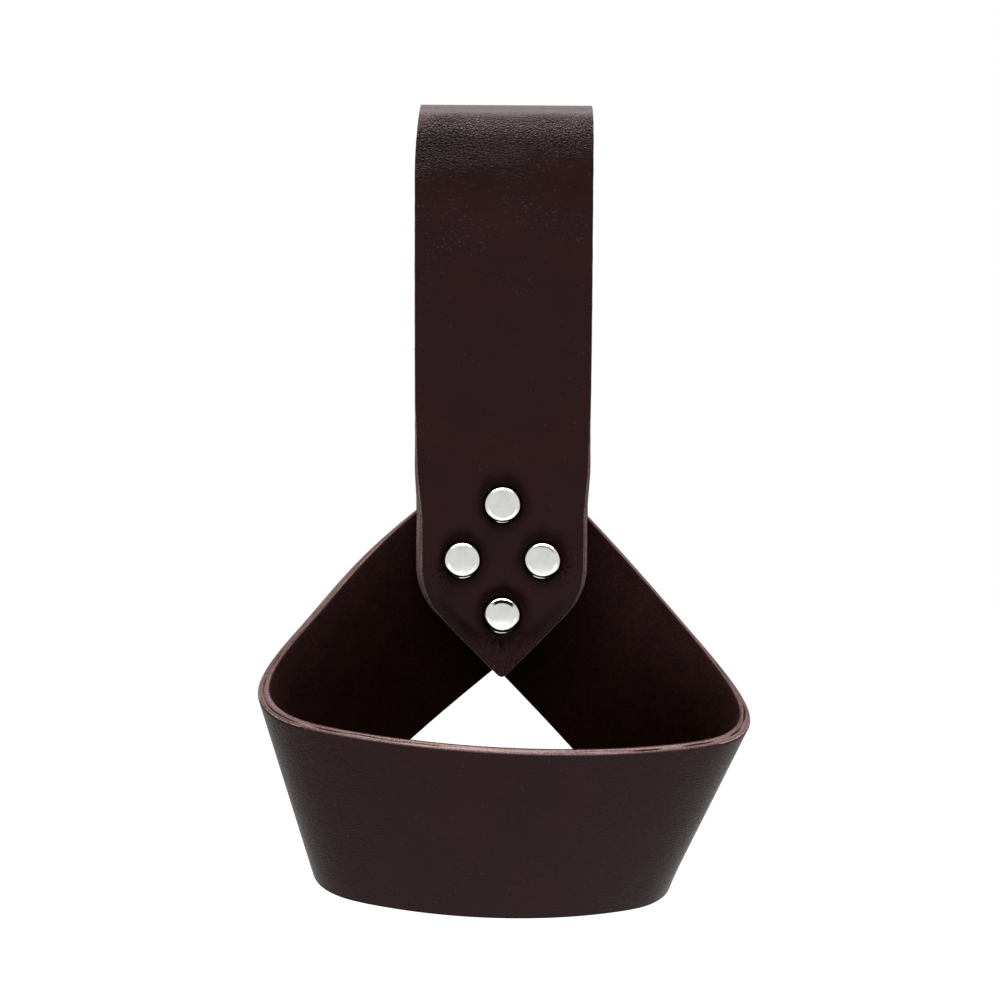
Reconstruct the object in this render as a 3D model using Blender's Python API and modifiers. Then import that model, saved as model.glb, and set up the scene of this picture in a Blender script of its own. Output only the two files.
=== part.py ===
"""Leather cup holder for a belt.

One leather strap is bent round into a flared ring that carries the cup. Its two pointed ends
cross between the two leaves of a second strap, which is folded over at the top into a belt
loop, and four double-cap rivets hold the four layers of leather together.

Units are metres and +Z is up. The cup ring stands out on the -Y side and the wearer's hip is
on the +Y side. The origin is inside the crown of the belt loop, where the belt bears.
"""

from math import cos, pi, radians, sin, sqrt, tan

import bmesh
import bpy
import numpy as np
from mathutils import Matrix, Vector

# Leather straps, both cut from the same 50 mm strip
STRAP_WIDTH = 0.0500
LEATHER_THICKNESS = 0.0035
EDGE_BEVEL = 0.0005
CLEARANCE = 0.0003

# Pointed strap ends: a square point with round shoulders and a slightly blunt tip
SHOULDER_RADIUS = 0.0200
TIP_HALF_WIDTH = 0.0012
FLAP_REACH = 0.0331
REAR_LEAF_REACH = 0.0322
RING_END_REACH = 0.0300

# Riveted stack: four layers of leather bent to one gentle curve round a vertical axis
STACK_BEND_RADIUS = 0.0910

# Belt loop above the stack
LOOP_RISE = 0.1300
LOOP_DEPTH = 0.0240
LOOP_SETBACK = 0.0010
SPREAD_START = 0.0260
SPREAD_LENGTH = 0.0600
CUPPED_HEIGHT = 0.0240
CUP_FADE_LENGTH = 0.0260

# Free edges of the front flap lift off towards the wearer's hand
LIFT_MARGIN = 0.0085
LEFT_LIFT_ANGLE = radians(20.0)
RIGHT_LIFT_ANGLE = radians(5.0)
LIFT_TOP = 0.0280
LIFT_FADE_LENGTH = 0.0260

# Cup ring, measured along the middle of the strap from the middle of its front
HALF_RING_LENGTH = 0.1582
FRONT_BEND_RADIUS = 0.1446
CORNER_BEND_RADIUS = 0.0109
SIDE_BEND_RADIUS = 0.1506
CORNER_DISTANCE = 0.0625
CORNER_LENGTH = 0.02055
BEND_BLEND_LENGTH = 0.03225
STACK_BEND_LENGTH = 0.0450
STRAIGHT_RULING_LENGTH = 0.0145
FRONT_LEAN = radians(18.5)
CORNER_RULING_ANGLE = radians(21.0)
CROSSING_ANGLE = radians(42.2)
FRONT_STANDOFF = 0.0481
FRONT_DROP = 0.0688
CROSSING_RISE = 0.0020
RING_YAW = radians(6.4)
RING_ROLL = radians(3.4)
LAYER_HALF_SPAN = 0.0280
LAYER_FADE_LENGTH = 0.0340

# Four rivets in a diamond
RIVET_SPREAD_ACROSS = 0.0126
RIVET_SPREAD_UP = 0.0158

# Rivet pieces, heights measured outwards from the leather's face
CAP_RADIUS = 0.0054
CAP_HEIGHT = 0.0026
CAP_WALL = 0.0004
CAP_CROWN = 0.00025
CAP_SHOULDER = 0.0007
RIM_HOLD = 0.0007
FLANGE_THICKNESS = 0.00045
TUBE_RADIUS = 0.0019
TUBE_WALL = 0.0006
TUBE_LENGTH = 0.0080
CUTTER_OVERRUN = 0.0040

# Counts of divisions
RIVET_SIDES = 14
HOLE_SIDES = 14
END_COLUMNS = 6
LEAF_COLUMNS = 18
FOLD_COLUMNS = 12
STATIONS = 241

# Rows of faces across half a strap, from near its middle to its edge
ROW_SHARES = (0.10, 0.32, 0.54, 0.74, 0.90, 1.0)

# Spacing of the ring's columns: by length where it is flat, by turn where it bends
COLUMN_LENGTH = 0.0080
COLUMN_TURN = radians(14.0)

HALF_WIDTH = STRAP_WIDTH / 2
LAYER_PITCH = LEATHER_THICKNESS + CLEARANCE
STACK_DEPTH = 4 * LEATHER_THICKNESS + 3 * CLEARANCE
FRONT_FACE_RADIUS = STACK_BEND_RADIUS - STACK_DEPTH / 2
REAR_FACE_RADIUS = STACK_BEND_RADIUS + STACK_DEPTH / 2
FOLD_RADIUS = (LOOP_DEPTH - LEATHER_THICKNESS) / 2
FOLD_HEIGHT = LOOP_RISE - LOOP_DEPTH / 2
STACK_CENTRE = Vector((0, -LOOP_SETBACK, LEATHER_THICKNESS - LOOP_RISE))
HOLE_RADIUS = TUBE_RADIUS + CLEARANCE


def clear_scene():
    """Remove everything that the start-up file left in the scene."""
    for thing in list(bpy.context.scene.objects):
        bpy.data.objects.remove(thing, do_unlink=True)


def make_collection(name):
    """Make a collection under the scene's own collection."""
    collection = bpy.data.collections.new(name)
    bpy.context.scene.collection.children.link(collection)
    return collection


def make_material(name, colour, roughness, metallic):
    """Make a plain Principled material."""
    material = bpy.data.materials.new(name)
    material.use_nodes = True
    shader = material.node_tree.nodes["Principled BSDF"]
    shader.inputs["Base Color"].default_value = (*colour, 1.0)
    shader.inputs["Roughness"].default_value = roughness
    shader.inputs["Metallic"].default_value = metallic
    return material


def leather_material(name):
    """Dark brown oiled leather with a low sheen."""
    return make_material(name, (0.024, 0.011, 0.012), 0.55, 0.0)


def nickel_material(name):
    """Bright nickel plate of the rivet caps."""
    return make_material(name, (0.78, 0.78, 0.77), 0.18, 1.0)


def steel_material(name):
    """Duller plated steel of the pieces inside the rivets."""
    return make_material(name, (0.48, 0.48, 0.47), 0.35, 1.0)


def add_object(name, mesh, material, collection):
    """Put a mesh into the scene as a smooth object with its own material."""
    piece = bpy.data.objects.new(name, mesh)
    mesh.materials.append(material)
    mesh.shade_smooth()
    collection.objects.link(piece)
    return piece


def ease(value):
    """Smooth step from 0 to 1."""
    limited = np.clip(value, 0.0, 1.0)
    return limited * limited * (3 - 2 * limited)


def both_sides(shares):
    """Shares of the half width from one edge of a strap to the other."""
    return [-share for share in reversed(shares)] + list(shares)


def point_outline(reach):
    """Half outline of a pointed end, from its side to its tip, as (along, across) points.

    It has a point for each row. The distance along is measured from the rivets' centre
    towards the tip, which is cut off blunt.
    """
    apex = reach + TIP_HALF_WIDTH
    shoulder_cut = SHOULDER_RADIUS * tan(pi / 8)
    arc_start = apex - HALF_WIDTH - shoulder_cut
    arc_centre = HALF_WIDTH - SHOULDER_RADIUS
    points = []
    for turn in (0, pi / 8, pi / 4):
        along = arc_start + SHOULDER_RADIUS * sin(turn)
        points.append((along, arc_centre + SHOULDER_RADIUS * cos(turn)))
    slant_end = points[-1]
    slant_rows = len(ROW_SHARES) - len(points)
    for row in range(1, slant_rows + 1):
        share = row / slant_rows
        along = slant_end[0] + share * (reach - slant_end[0])
        points.append((along, slant_end[1] + share * (TIP_HALF_WIDTH - slant_end[1])))
    return points


def straight_reach(reach):
    """Distance from the rivets' centre at which a strap's last straight column lies."""
    return point_outline(reach)[0][0] - LAYER_PITCH


def strap_grid(first_end, body_columns, last_end):
    """Strip coordinates (along, across) of a whole strap, end to end."""
    rows = both_sides(ROW_SHARES)
    body = [[(along, row * HALF_WIDTH) for row in rows] for along in body_columns]
    return first_end + body + last_end


def end_columns(reach, centre, direction):
    """Columns that run out from the last straight column to the pointed outline, tip last."""
    half = point_outline(reach)
    edge_along = centre + direction * straight_reach(reach)
    outline = [(along, -across) for along, across in half] + half[::-1]
    rows = both_sides(ROW_SHARES)
    columns = []
    for step in range(1, END_COLUMNS + 1):
        share = step / END_COLUMNS
        column = []
        for row, (along, across) in zip(rows, outline):
            target = centre + direction * along
            column.append((
                edge_along + share * (target - edge_along),
                row * HALF_WIDTH + share * (across - row * HALF_WIDTH),
            ))
        columns.append(column)
    return columns


def grid_mesh(name, grid, place):
    """Open surface through the places of a strap's strip coordinates."""
    mesh = bpy.data.meshes.new(name)
    built = bmesh.new()
    columns = [[built.verts.new(place(*spot)) for spot in column] for column in grid]
    for left, right in zip(columns, columns[1:]):
        for row in range(len(left) - 1):
            built.faces.new((left[row], right[row], right[row + 1], left[row + 1]))
    built.to_mesh(mesh)
    built.free()
    return mesh


def add_leather_thickness(piece):
    """Give a strap's middle surface its thickness and soft edges."""
    solid = piece.modifiers.new("leather_thickness", "SOLIDIFY")
    solid.thickness = LEATHER_THICKNESS
    solid.offset = 0
    solid.use_even_offset = True
    bevel = piece.modifiers.new("soft_edges", "BEVEL")
    bevel.width = EDGE_BEVEL
    bevel.segments = 1
    bevel.limit_method = "ANGLE"
    bevel.angle_limit = radians(50.0)


def add_holes(piece, cutter):
    """Punch the rivet holes through a strap, whose bent faces are split flat first."""
    split = piece.modifiers.new("flat_faces", "TRIANGULATE")
    split.quad_method = "SHORTEST_DIAGONAL"
    cut = piece.modifiers.new("rivet_holes", "BOOLEAN")
    cut.operation = "DIFFERENCE"
    cut.solver = "EXACT"
    cut.object = cutter


def on_stack(arc, height, layer):
    """Point of the riveted stack: arc across, height up, layer steps out from its middle."""
    radius = STACK_BEND_RADIUS + layer * LAYER_PITCH
    angle = arc / radius
    return Vector((radius * sin(angle), radius * cos(angle) - STACK_BEND_RADIUS, height))


def loop_path():
    """Side view of the belt loop: distance along, offset from the stack, and height."""
    layer = 1.5 * LAYER_PITCH
    front_out = FOLD_RADIUS - LOOP_SETBACK - layer
    rear_out = FOLD_RADIUS + LOOP_SETBACK - layer
    rise = np.linspace(-FLAP_REACH, FOLD_HEIGHT, STATIONS)
    spread = ease((rise - SPREAD_START) / SPREAD_LENGTH)
    front = np.column_stack((-layer - front_out * spread, rise))
    turn = np.linspace(0, pi, STATIONS)[1:-1]
    fold_y = LOOP_SETBACK - FOLD_RADIUS * np.cos(turn)
    fold = np.column_stack((fold_y, FOLD_HEIGHT + FOLD_RADIUS * np.sin(turn)))
    fall = np.linspace(FOLD_HEIGHT, -REAR_LEAF_REACH, STATIONS)
    spread = ease((fall - SPREAD_START) / SPREAD_LENGTH)
    rear = np.column_stack((layer + rear_out * spread, fall))
    path = np.vstack((front, fold, rear))
    steps = np.hypot(np.diff(path[:, 0]), np.diff(path[:, 1]))
    along = np.concatenate(([0], np.cumsum(steps))) - FLAP_REACH
    return along, path[:, 0], path[:, 1]


def flap_lift(across, height):
    """How far the flap's free edge stands off towards the front."""
    margin = max(abs(across) - HALF_WIDTH + LIFT_MARGIN, 0)
    slope = tan(LEFT_LIFT_ANGLE if across < 0 else RIGHT_LIFT_ANGLE)
    fade = 1 - ease((height - LIFT_TOP + LIFT_FADE_LENGTH) / LIFT_FADE_LENGTH)
    return fade * slope * margin * margin / (2 * LIFT_MARGIN)


def make_belt_loop_strap(collection, cutter):
    """Strap folded over at the top, with a pointed flap in front and a leaf behind."""
    along_path, offset_path, height_path = loop_path()
    middle = (along_path[0] + along_path[-1]) / 2
    rear_level = along_path[-1] - REAR_LEAF_REACH

    def place(along, across):
        offset = float(np.interp(along, along_path, offset_path))
        height = float(np.interp(along, along_path, height_path))
        layer = -1.5 if along < middle else 1.5
        curve = 1 - float(ease((height - CUPPED_HEIGHT) / CUP_FADE_LENGTH))
        cupped = on_stack(across, height, layer)
        sideways = across + curve * (cupped.x - across)
        bow = curve * (cupped.y - layer * LAYER_PITCH)
        lift = flap_lift(across, height) if along < middle else 0
        return Vector((sideways, offset + bow - lift, height))

    front_edge = -straight_reach(FLAP_REACH)
    rear_edge = rear_level + straight_reach(REAR_LEAF_REACH)
    fold_start = float(np.interp(FOLD_HEIGHT, height_path[:STATIONS], along_path[:STATIONS]))
    fold_end = fold_start + pi * FOLD_RADIUS
    front = np.linspace(front_edge, fold_start, LEAF_COLUMNS)
    fold = np.linspace(fold_start, fold_end, FOLD_COLUMNS)[1:-1]
    rear = np.linspace(fold_end, rear_edge, LEAF_COLUMNS)
    start = end_columns(FLAP_REACH, 0, -1)[::-1]
    finish = end_columns(REAR_LEAF_REACH, rear_level, 1)
    grid = strap_grid(start, list(front) + list(fold) + list(rear), finish)
    mesh = grid_mesh("belt_loop_strap", grid, place)
    material = leather_material("belt_loop_leather")
    piece = add_object("belt_loop_strap", mesh, material, collection)
    piece.location = STACK_CENTRE
    add_leather_thickness(piece)
    add_holes(piece, cutter)
    return piece


def small_turn(vector):
    """Rotation matrix of a turn given as its axis times its angle."""
    angle = float(np.linalg.norm(vector))
    if angle == 0:
        return np.eye(3)
    return np.array(Matrix.Rotation(angle, 3, Vector(vector)))


def half_ring():
    """Half of the ring strap from the middle of its front to the crossing.

    Gives the distances along, the points of the strap's middle line, its frames (tangent,
    inward normal, up) and the slope of the straight lines that run across the strap.
    """
    along = np.linspace(0, HALF_RING_LENGTH, STATIONS)
    blend = BEND_BLEND_LENGTH
    corner_start = CORNER_DISTANCE - CORNER_LENGTH / 2
    corner_end = CORNER_DISTANCE + CORNER_LENGTH / 2
    stack_start = HALF_RING_LENGTH - STACK_BEND_LENGTH
    front = 1 / FRONT_BEND_RADIUS
    corner = 1 / CORNER_BEND_RADIUS
    side = 1 / SIDE_BEND_RADIUS
    stack = cos(CROSSING_ANGLE) ** 2 / STACK_BEND_RADIUS
    bend = front + (corner - front) * ease((along - corner_start + blend / 2) / blend)
    bend = bend + (side - corner) * ease((along - corner_end + blend / 2) / blend)
    bend = bend + (stack - side) * ease((along - stack_start) / blend)
    straight_start = HALF_RING_LENGTH - STRAIGHT_RULING_LENGTH
    at_corner = tan(CORNER_RULING_ANGLE)
    at_stack = tan(CROSSING_ANGLE)
    climb = ease((along - CORNER_DISTANCE) / (straight_start - CORNER_DISTANCE))
    slope = at_corner * np.minimum(along / CORNER_DISTANCE, 1) + (at_stack - at_corner) * climb
    point = np.array([0, -FRONT_STANDOFF, -FRONT_DROP])
    lean = FRONT_LEAN
    frame = np.array([[1, 0, 0], [0, cos(lean), sin(lean)], [0, -sin(lean), cos(lean)]])
    points = [point]
    frames = [frame]
    step = along[1] - along[0]
    for index in range(STATIONS - 1):
        curve = (bend[index] + bend[index + 1]) / 2
        twist = curve * (slope[index] + slope[index + 1]) / 2
        turn = (twist * frame[0] + curve * frame[2]) * step
        point = point + (small_turn(turn / 2) @ frame[0]) * step
        frame = frame @ small_turn(turn).T
        points.append(point)
        frames.append(frame)
    points = np.array(points)
    closing = ease(along / HALF_RING_LENGTH)[:, None]
    crossing = np.array([0, 0, CROSSING_RISE])
    return along, points - closing * (points[-1] - crossing), np.array(frames), slope, bend


def ring_columns(along, bend):
    """Distances of the ring's columns on one half, closer together where it bends."""
    measure = 1 / COLUMN_LENGTH + bend / COLUMN_TURN
    total = np.concatenate(([0], np.cumsum((measure[1:] + measure[:-1]) / 2 * np.diff(along))))
    last = HALF_RING_LENGTH + straight_reach(RING_END_REACH)
    count = int(np.ceil(np.interp(last, along, total)))
    targets = np.linspace(0, np.interp(last, along, total), count + 1)
    return list(np.interp(targets, total, along))


def make_cup_ring_strap(collection, cutter):
    """Strap bent round into the flared ring, its two pointed ends crossed in the stack."""
    along_half, points, frames, slope, bend = half_ring()
    tilt = Matrix.Rotation(RING_YAW, 3, "Z") @ Matrix.Rotation(RING_ROLL, 3, "Y")

    def in_ring(along, across):
        distance = float(np.interp(along, along_half + slope * across, along_half))
        ratio = float(np.interp(distance, along_half, slope))
        centre = [np.interp(distance, along_half, points[:, axis]) for axis in range(3)]
        tangent = [np.interp(distance, along_half, frames[:, 0, axis]) for axis in range(3)]
        upward = [np.interp(distance, along_half, frames[:, 2, axis]) for axis in range(3)]
        return Vector(centre) + across * (Vector(upward) + ratio * Vector(tangent))

    def place(along, across):
        side = 1 if along > 0 else -1
        distance = abs(along)
        ring = in_ring(distance, across)
        ring.x *= side
        ring = tilt @ ring
        angle = CROSSING_ANGLE + side * RING_ROLL
        past = distance - HALF_RING_LENGTH
        arc = side * (across * sin(angle) - past * cos(angle))
        height = CROSSING_RISE + past * sin(angle) + across * cos(angle)
        weight = 1 - float(ease((abs(arc) - LAYER_HALF_SPAN) / LAYER_FADE_LENGTH))
        if past > 0:
            weight = 1
        stacked = on_stack(arc, height, side / 2)
        return ring.lerp(stacked, weight)

    half = ring_columns(along_half, bend)
    body = [-distance for distance in reversed(half)] + half[1:]
    start = end_columns(RING_END_REACH, -HALF_RING_LENGTH, -1)[::-1]
    finish = end_columns(RING_END_REACH, HALF_RING_LENGTH, 1)
    grid = strap_grid(start, body, finish)
    mesh = grid_mesh("cup_ring_strap", grid, place)
    material = leather_material("cup_ring_leather")
    piece = add_object("cup_ring_strap", mesh, material, collection)
    piece.location = STACK_CENTRE
    add_leather_thickness(piece)
    add_holes(piece, cutter)
    return piece


def rivet_places():
    """Names of the four rivets with their arc across and height up on the stack."""
    return (
        ("top", 0, RIVET_SPREAD_UP),
        ("left", -RIVET_SPREAD_ACROSS, 0),
        ("right", RIVET_SPREAD_ACROSS, 0),
        ("bottom", 0, -RIVET_SPREAD_UP),
    )


def rivet_matrix(arc, height, radius, outward):
    """Placing of a rivet piece: local +Z points out of the leather's front or rear face."""
    angle = arc / STACK_BEND_RADIUS
    spot = Vector((radius * sin(angle), radius * cos(angle) - STACK_BEND_RADIUS, height))
    turn = Matrix.Rotation(-angle, 4, "Z") @ Matrix.Rotation(-outward * pi / 2, 4, "X")
    return Matrix.Translation(STACK_CENTRE + spot) @ turn


def make_hole_cutter(collection):
    """Four round punches that pass through the whole stack."""
    mesh = bpy.data.meshes.new("rivet_hole_cutter")
    built = bmesh.new()
    for _, arc, height in rivet_places():
        placing = rivet_matrix(arc, height, STACK_BEND_RADIUS, 1)
        bmesh.ops.create_cone(
            built,
            cap_ends=True,
            segments=HOLE_SIDES,
            radius1=HOLE_RADIUS,
            radius2=HOLE_RADIUS,
            depth=STACK_DEPTH + 2 * CUTTER_OVERRUN,
            matrix=placing,
        )
    built.to_mesh(mesh)
    built.free()
    cutter = bpy.data.objects.new("rivet_hole_cutter", mesh)
    cutter.display_type = "WIRE"
    cutter.hide_render = True
    collection.objects.link(cutter)
    return cutter


def turned_mesh_object(name, profile, material, collection):
    """Object turned about its local Z from a profile of (radius, height) points."""
    mesh = bpy.data.meshes.new(name)
    spots = [(radius, 0, height) for radius, height in profile]
    edges = [(index, index + 1) for index in range(len(spots) - 1)]
    mesh.from_pydata(spots, edges, [])
    piece = add_object(name, mesh, material, collection)
    screw = piece.modifiers.new("turned", "SCREW")
    screw.axis = "Z"
    screw.angle = 2 * pi
    screw.steps = RIVET_SIDES
    screw.render_steps = RIVET_SIDES
    screw.use_merge_vertices = True
    screw.merge_threshold = CLEARANCE / 100
    screw.use_smooth_shade = True
    return piece


def cap_seat():
    """Height of a cap's rim, clear of the hollow face that it sits on."""
    hollow = FRONT_FACE_RADIUS - sqrt(FRONT_FACE_RADIUS ** 2 - CAP_RADIUS ** 2)
    return CLEARANCE + hollow


def flange_top():
    """Outer face of the flange under a cap."""
    return CAP_HEIGHT - CAP_CROWN - CAP_WALL - CLEARANCE


def flange_radius():
    """Radius of the flange that the cap's rim is rolled under."""
    return CAP_RADIUS - 3 * CAP_WALL


def cap_profile():
    """Pressed shell: a low crown, a round shoulder and a rim rolled under the flange."""
    shoulder = CAP_RADIUS - CAP_SHOULDER
    brow = CAP_HEIGHT - CAP_CROWN
    seat = cap_seat()
    rim = flange_radius() - RIM_HOLD
    inner = CAP_RADIUS - CAP_WALL
    return (
        (0, CAP_HEIGHT),
        (shoulder * 2 / 3, CAP_HEIGHT - CAP_CROWN / 3),
        (shoulder, brow),
        (CAP_RADIUS - CAP_SHOULDER / 4, brow - CAP_SHOULDER / 3),
        (CAP_RADIUS, brow - CAP_SHOULDER),
        (CAP_RADIUS, seat + CAP_WALL / 2),
        (CAP_RADIUS - CAP_WALL / 2, seat),
        (rim, seat),
        (rim, seat + CAP_WALL),
        (inner, seat + CAP_WALL),
        (inner, brow - CAP_SHOULDER),
        (shoulder - CAP_WALL / 2, brow - CAP_WALL),
        (0, CAP_HEIGHT - CAP_WALL),
    )


def socket_profile():
    """Flange with a tube that passes into the leather and is open at its inner end."""
    top = flange_top()
    under = top - FLANGE_THICKNESS
    bore = TUBE_RADIUS - TUBE_WALL
    return (
        (0, top),
        (flange_radius(), top),
        (flange_radius(), under),
        (TUBE_RADIUS, under),
        (TUBE_RADIUS, -TUBE_LENGTH),
        (bore, -TUBE_LENGTH),
        (bore, under),
        (0, under),
    )


def post_profile():
    """Flange with a thick root and a pin that is set into the socket's tube."""
    top = flange_top()
    under = top - FLANGE_THICKNESS
    root_length = STACK_DEPTH - TUBE_LENGTH - CLEARANCE
    pin_radius = TUBE_RADIUS - TUBE_WALL - CLEARANCE
    pin_length = STACK_DEPTH + under - CLEARANCE
    return (
        (0, top),
        (flange_radius(), top),
        (flange_radius(), under),
        (TUBE_RADIUS, under),
        (TUBE_RADIUS, -root_length),
        (pin_radius, -root_length),
        (pin_radius, -pin_length),
        (0, -pin_length),
    )


def make_rivet(place, arc, height, collection):
    """One double-cap rivet: a cap over a socket in front, a cap over a post behind."""
    front = rivet_matrix(arc, height, FRONT_FACE_RADIUS, -1)
    rear = rivet_matrix(arc, height, REAR_FACE_RADIUS, 1)
    pieces = (
        ("front_cap", cap_profile(), nickel_material, front),
        ("front_socket", socket_profile(), steel_material, front),
        ("rear_cap", cap_profile(), nickel_material, rear),
        ("rear_post", post_profile(), steel_material, rear),
    )
    for kind, profile, finish, placing in pieces:
        name = f"rivet_{place}_{kind}"
        piece = turned_mesh_object(name, profile, finish(f"{name}_metal"), collection)
        piece.matrix_world = placing


def main():
    """Build the cup holder."""
    clear_scene()
    parts = make_collection("leather_cup_holder")
    cutters = make_collection("cutters")
    cutter = make_hole_cutter(cutters)
    make_belt_loop_strap(parts, cutter)
    make_cup_ring_strap(parts, cutter)
    for place, arc, height in rivet_places():
        make_rivet(place, arc, height, parts)
    bpy.context.view_layer.update()


main()
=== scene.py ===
"""Leather cup holder that hangs from a belt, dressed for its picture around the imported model.

Both straps are cut flat in strip coordinates, with rounded edges and punched holes, and are
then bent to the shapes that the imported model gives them. The double-cap rivets are turned.
All sizes are in metres, +Z is up and the wearer's hip is on the +Y side.
"""

import logging
from dataclasses import dataclass
from enum import Enum
from math import cos, pi, radians, sin, sqrt, tan

import bmesh
import bpy
import numpy as np
from mathutils import Matrix, Vector


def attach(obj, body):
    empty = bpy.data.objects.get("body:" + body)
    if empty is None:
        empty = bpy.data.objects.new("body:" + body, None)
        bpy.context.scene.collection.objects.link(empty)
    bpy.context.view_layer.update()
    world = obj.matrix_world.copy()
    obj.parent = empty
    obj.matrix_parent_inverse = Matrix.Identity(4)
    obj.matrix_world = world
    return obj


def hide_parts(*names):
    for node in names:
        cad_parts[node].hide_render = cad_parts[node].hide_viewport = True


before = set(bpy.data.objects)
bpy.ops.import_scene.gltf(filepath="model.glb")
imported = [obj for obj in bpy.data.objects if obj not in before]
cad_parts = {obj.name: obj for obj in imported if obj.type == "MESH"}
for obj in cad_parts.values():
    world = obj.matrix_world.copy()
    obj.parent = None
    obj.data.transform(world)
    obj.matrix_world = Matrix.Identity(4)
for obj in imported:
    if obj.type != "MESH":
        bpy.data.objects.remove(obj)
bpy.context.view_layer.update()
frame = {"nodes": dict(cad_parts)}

log = logging.getLogger("cup_holder")

Array = np.ndarray
Colour = tuple[float, float, float]
Place = tuple[float, float, float]
Node = bpy.types.Node
Socket = bpy.types.NodeSocket
Tree = bpy.types.NodeTree
Sockets = bpy.types.bpy_prop_collection

ROOT_BODY = "root"
WHITE = (1.0, 1.0, 1.0, 1.0)
TINY = 1e-9


class Mark(Enum):
    """Numbers and vectors on a strap's points that its materials read."""

    PLACE = "cut_place"
    EDGE = "edge_turn"
    # Grain side: burnish with painted shade and painted light; flesh side: darkening; cut edge: stain.
    PRESSED = "pressed"
    # Depth of the split in the cut edge, where shade is painted.
    FISSURE = "fissure"
    SWELL = "grain_swell"
    FAN = "fan_place"


class Leaf(Enum):
    """The two ends of the belt loop strap, by the side of the stack that they lie on."""

    FRONT = -1
    REAR = 1


class FanHeading(Enum):
    """Direction in which creases fan out from each of the lower three rivets."""

    BOTTOM = -0.50 * pi
    LEFT = -0.80 * pi
    RIGHT = -0.04 * pi


class Uneven(Enum):
    """Uneven fields of a strap, by what each adds to the strap's seed."""

    FIBRES = 0
    SPLIT_COURSE = 5
    SPLIT_DEPTH = 9
    HALO = 40
    PEBBLES = 60


def ease(value: Array) -> Array:
    """Smooth step from 0 to 1, for numbers that run from below 0 to above 1."""
    limited = np.clip(value, 0.0, 1.0)
    return limited * limited * (3 - 2 * limited)


def unit(vectors: Array) -> Array:
    """Vectors along the last axis, scaled to length 1."""
    return vectors / np.linalg.norm(vectors, axis=-1, keepdims=True)


def running_sum(steps: Array) -> Array:
    """Sum of the steps before each place, 0 at the first."""
    return np.concatenate([[0], np.cumsum(steps)])


def line_length(points: Array) -> Array:
    """Length of a line of flat points from its first point to each."""
    return running_sum(np.hypot(*np.diff(points, axis=0).T))


def placed(name: str, data: bpy.types.ID) -> bpy.types.Object:
    """New object in the scene."""
    thing = bpy.data.objects.new(name, data)
    bpy.context.scene.collection.objects.link(thing)
    return thing


def wavering(
    places: Array, wavelength: float, seed: int, waves: int = 10, spread: tuple[float, float] = (0.7, 1.6)
) -> Array:
    """Smooth uneven field, the same in each run.

    Args:
        places: Points, one per row, in metres.
        wavelength: Typical distance between two crests.
        seed: Number that picks this field.
        waves: How many plane waves are summed.
        spread: Shortest and longest wave, as shares of the wavelength.

    Returns:
        A value for each point, mostly from -1 to 1.
    """
    draw = np.random.default_rng(seed)
    total = np.zeros(len(places))
    for _ in range(waves):
        direction = unit(draw.normal(size=places.shape[1]))
        rate = 2 * pi / (wavelength * draw.uniform(*spread))
        total += np.sin(places @ direction * rate + draw.uniform(0, 2 * pi))
    return total / sqrt(waves)


@dataclass(frozen=True)
class Ramp:
    """Smooth climb from 0 to 1."""

    start: float
    length: float

    @property
    def end(self) -> float:
        """Where the climb is complete."""
        return self.start + self.length

    def at(self, value: Array) -> Array:
        """How far the climb has come at each value."""
        return ease((value - self.start) / self.length)


@dataclass(frozen=True)
class RivetedStack:
    """Four layers of leather, bent to one gentle curve and held by four rivets."""

    bend_radius: float = 0.0910
    leather: float = 0.0035
    gap: float = 0.0003
    centre: Place = (0.0, -0.001, -0.1265)
    spread_across: float = 0.0126
    spread_up: float = 0.0158

    @property
    def pitch(self) -> float:
        """Distance from one layer's middle to the next."""
        return self.leather + self.gap

    @property
    def depth(self) -> float:
        """Thickness of the four layers together."""
        return 4 * self.leather + 3 * self.gap

    @property
    def rivets(self) -> dict[str, tuple[float, float]]:
        """Arc across and height up of each rivet, by its place in the diamond."""
        return {
            "top": (0.0, self.spread_up),
            "left": (-self.spread_across, 0.0),
            "right": (self.spread_across, 0.0),
            "bottom": (0.0, -self.spread_up),
        }

    def place(self, arc: Array, height: Array, layer: float) -> Array:
        """Points on one layer's middle.

        Args:
            arc: Distances across, along the layer's curve.
            height: Heights above the rivets' centre.
            layer: Steps out from the middle of the stack, + to the rear.

        Returns:
            Points in stack coordinates.
        """
        radius = self.bend_radius + layer * self.pitch
        angle = arc / radius
        return np.stack([radius * np.sin(angle), radius * np.cos(angle) - self.bend_radius, height], -1)

    def arc_on_layer(self, arc: float, layer: float) -> float:
        """Arc of a rivet along a layer that is not the middle one."""
        return arc * (1 + layer * self.pitch / self.bend_radius)

    def cap_placing(self, arc: float, height: float, leaf: Leaf) -> Matrix:
        """Placing of a rivet cap.

        Args:
            arc: Arc across of the rivet.
            height: Height of the rivet.
            leaf: Which face of the stack the cap sits on.

        Returns:
            A matrix that takes +Z out of the leather's face.
        """
        angle = arc / self.bend_radius
        radius = self.bend_radius + leaf.value * self.depth / 2
        spot = Vector((radius * sin(angle), radius * cos(angle) - self.bend_radius, height))
        turn = Matrix.Rotation(-angle, 4, "Z") @ Matrix.Rotation(-leaf.value * pi / 2, 4, "X")
        return Matrix.Translation(Vector(self.centre) + spot) @ turn


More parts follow.
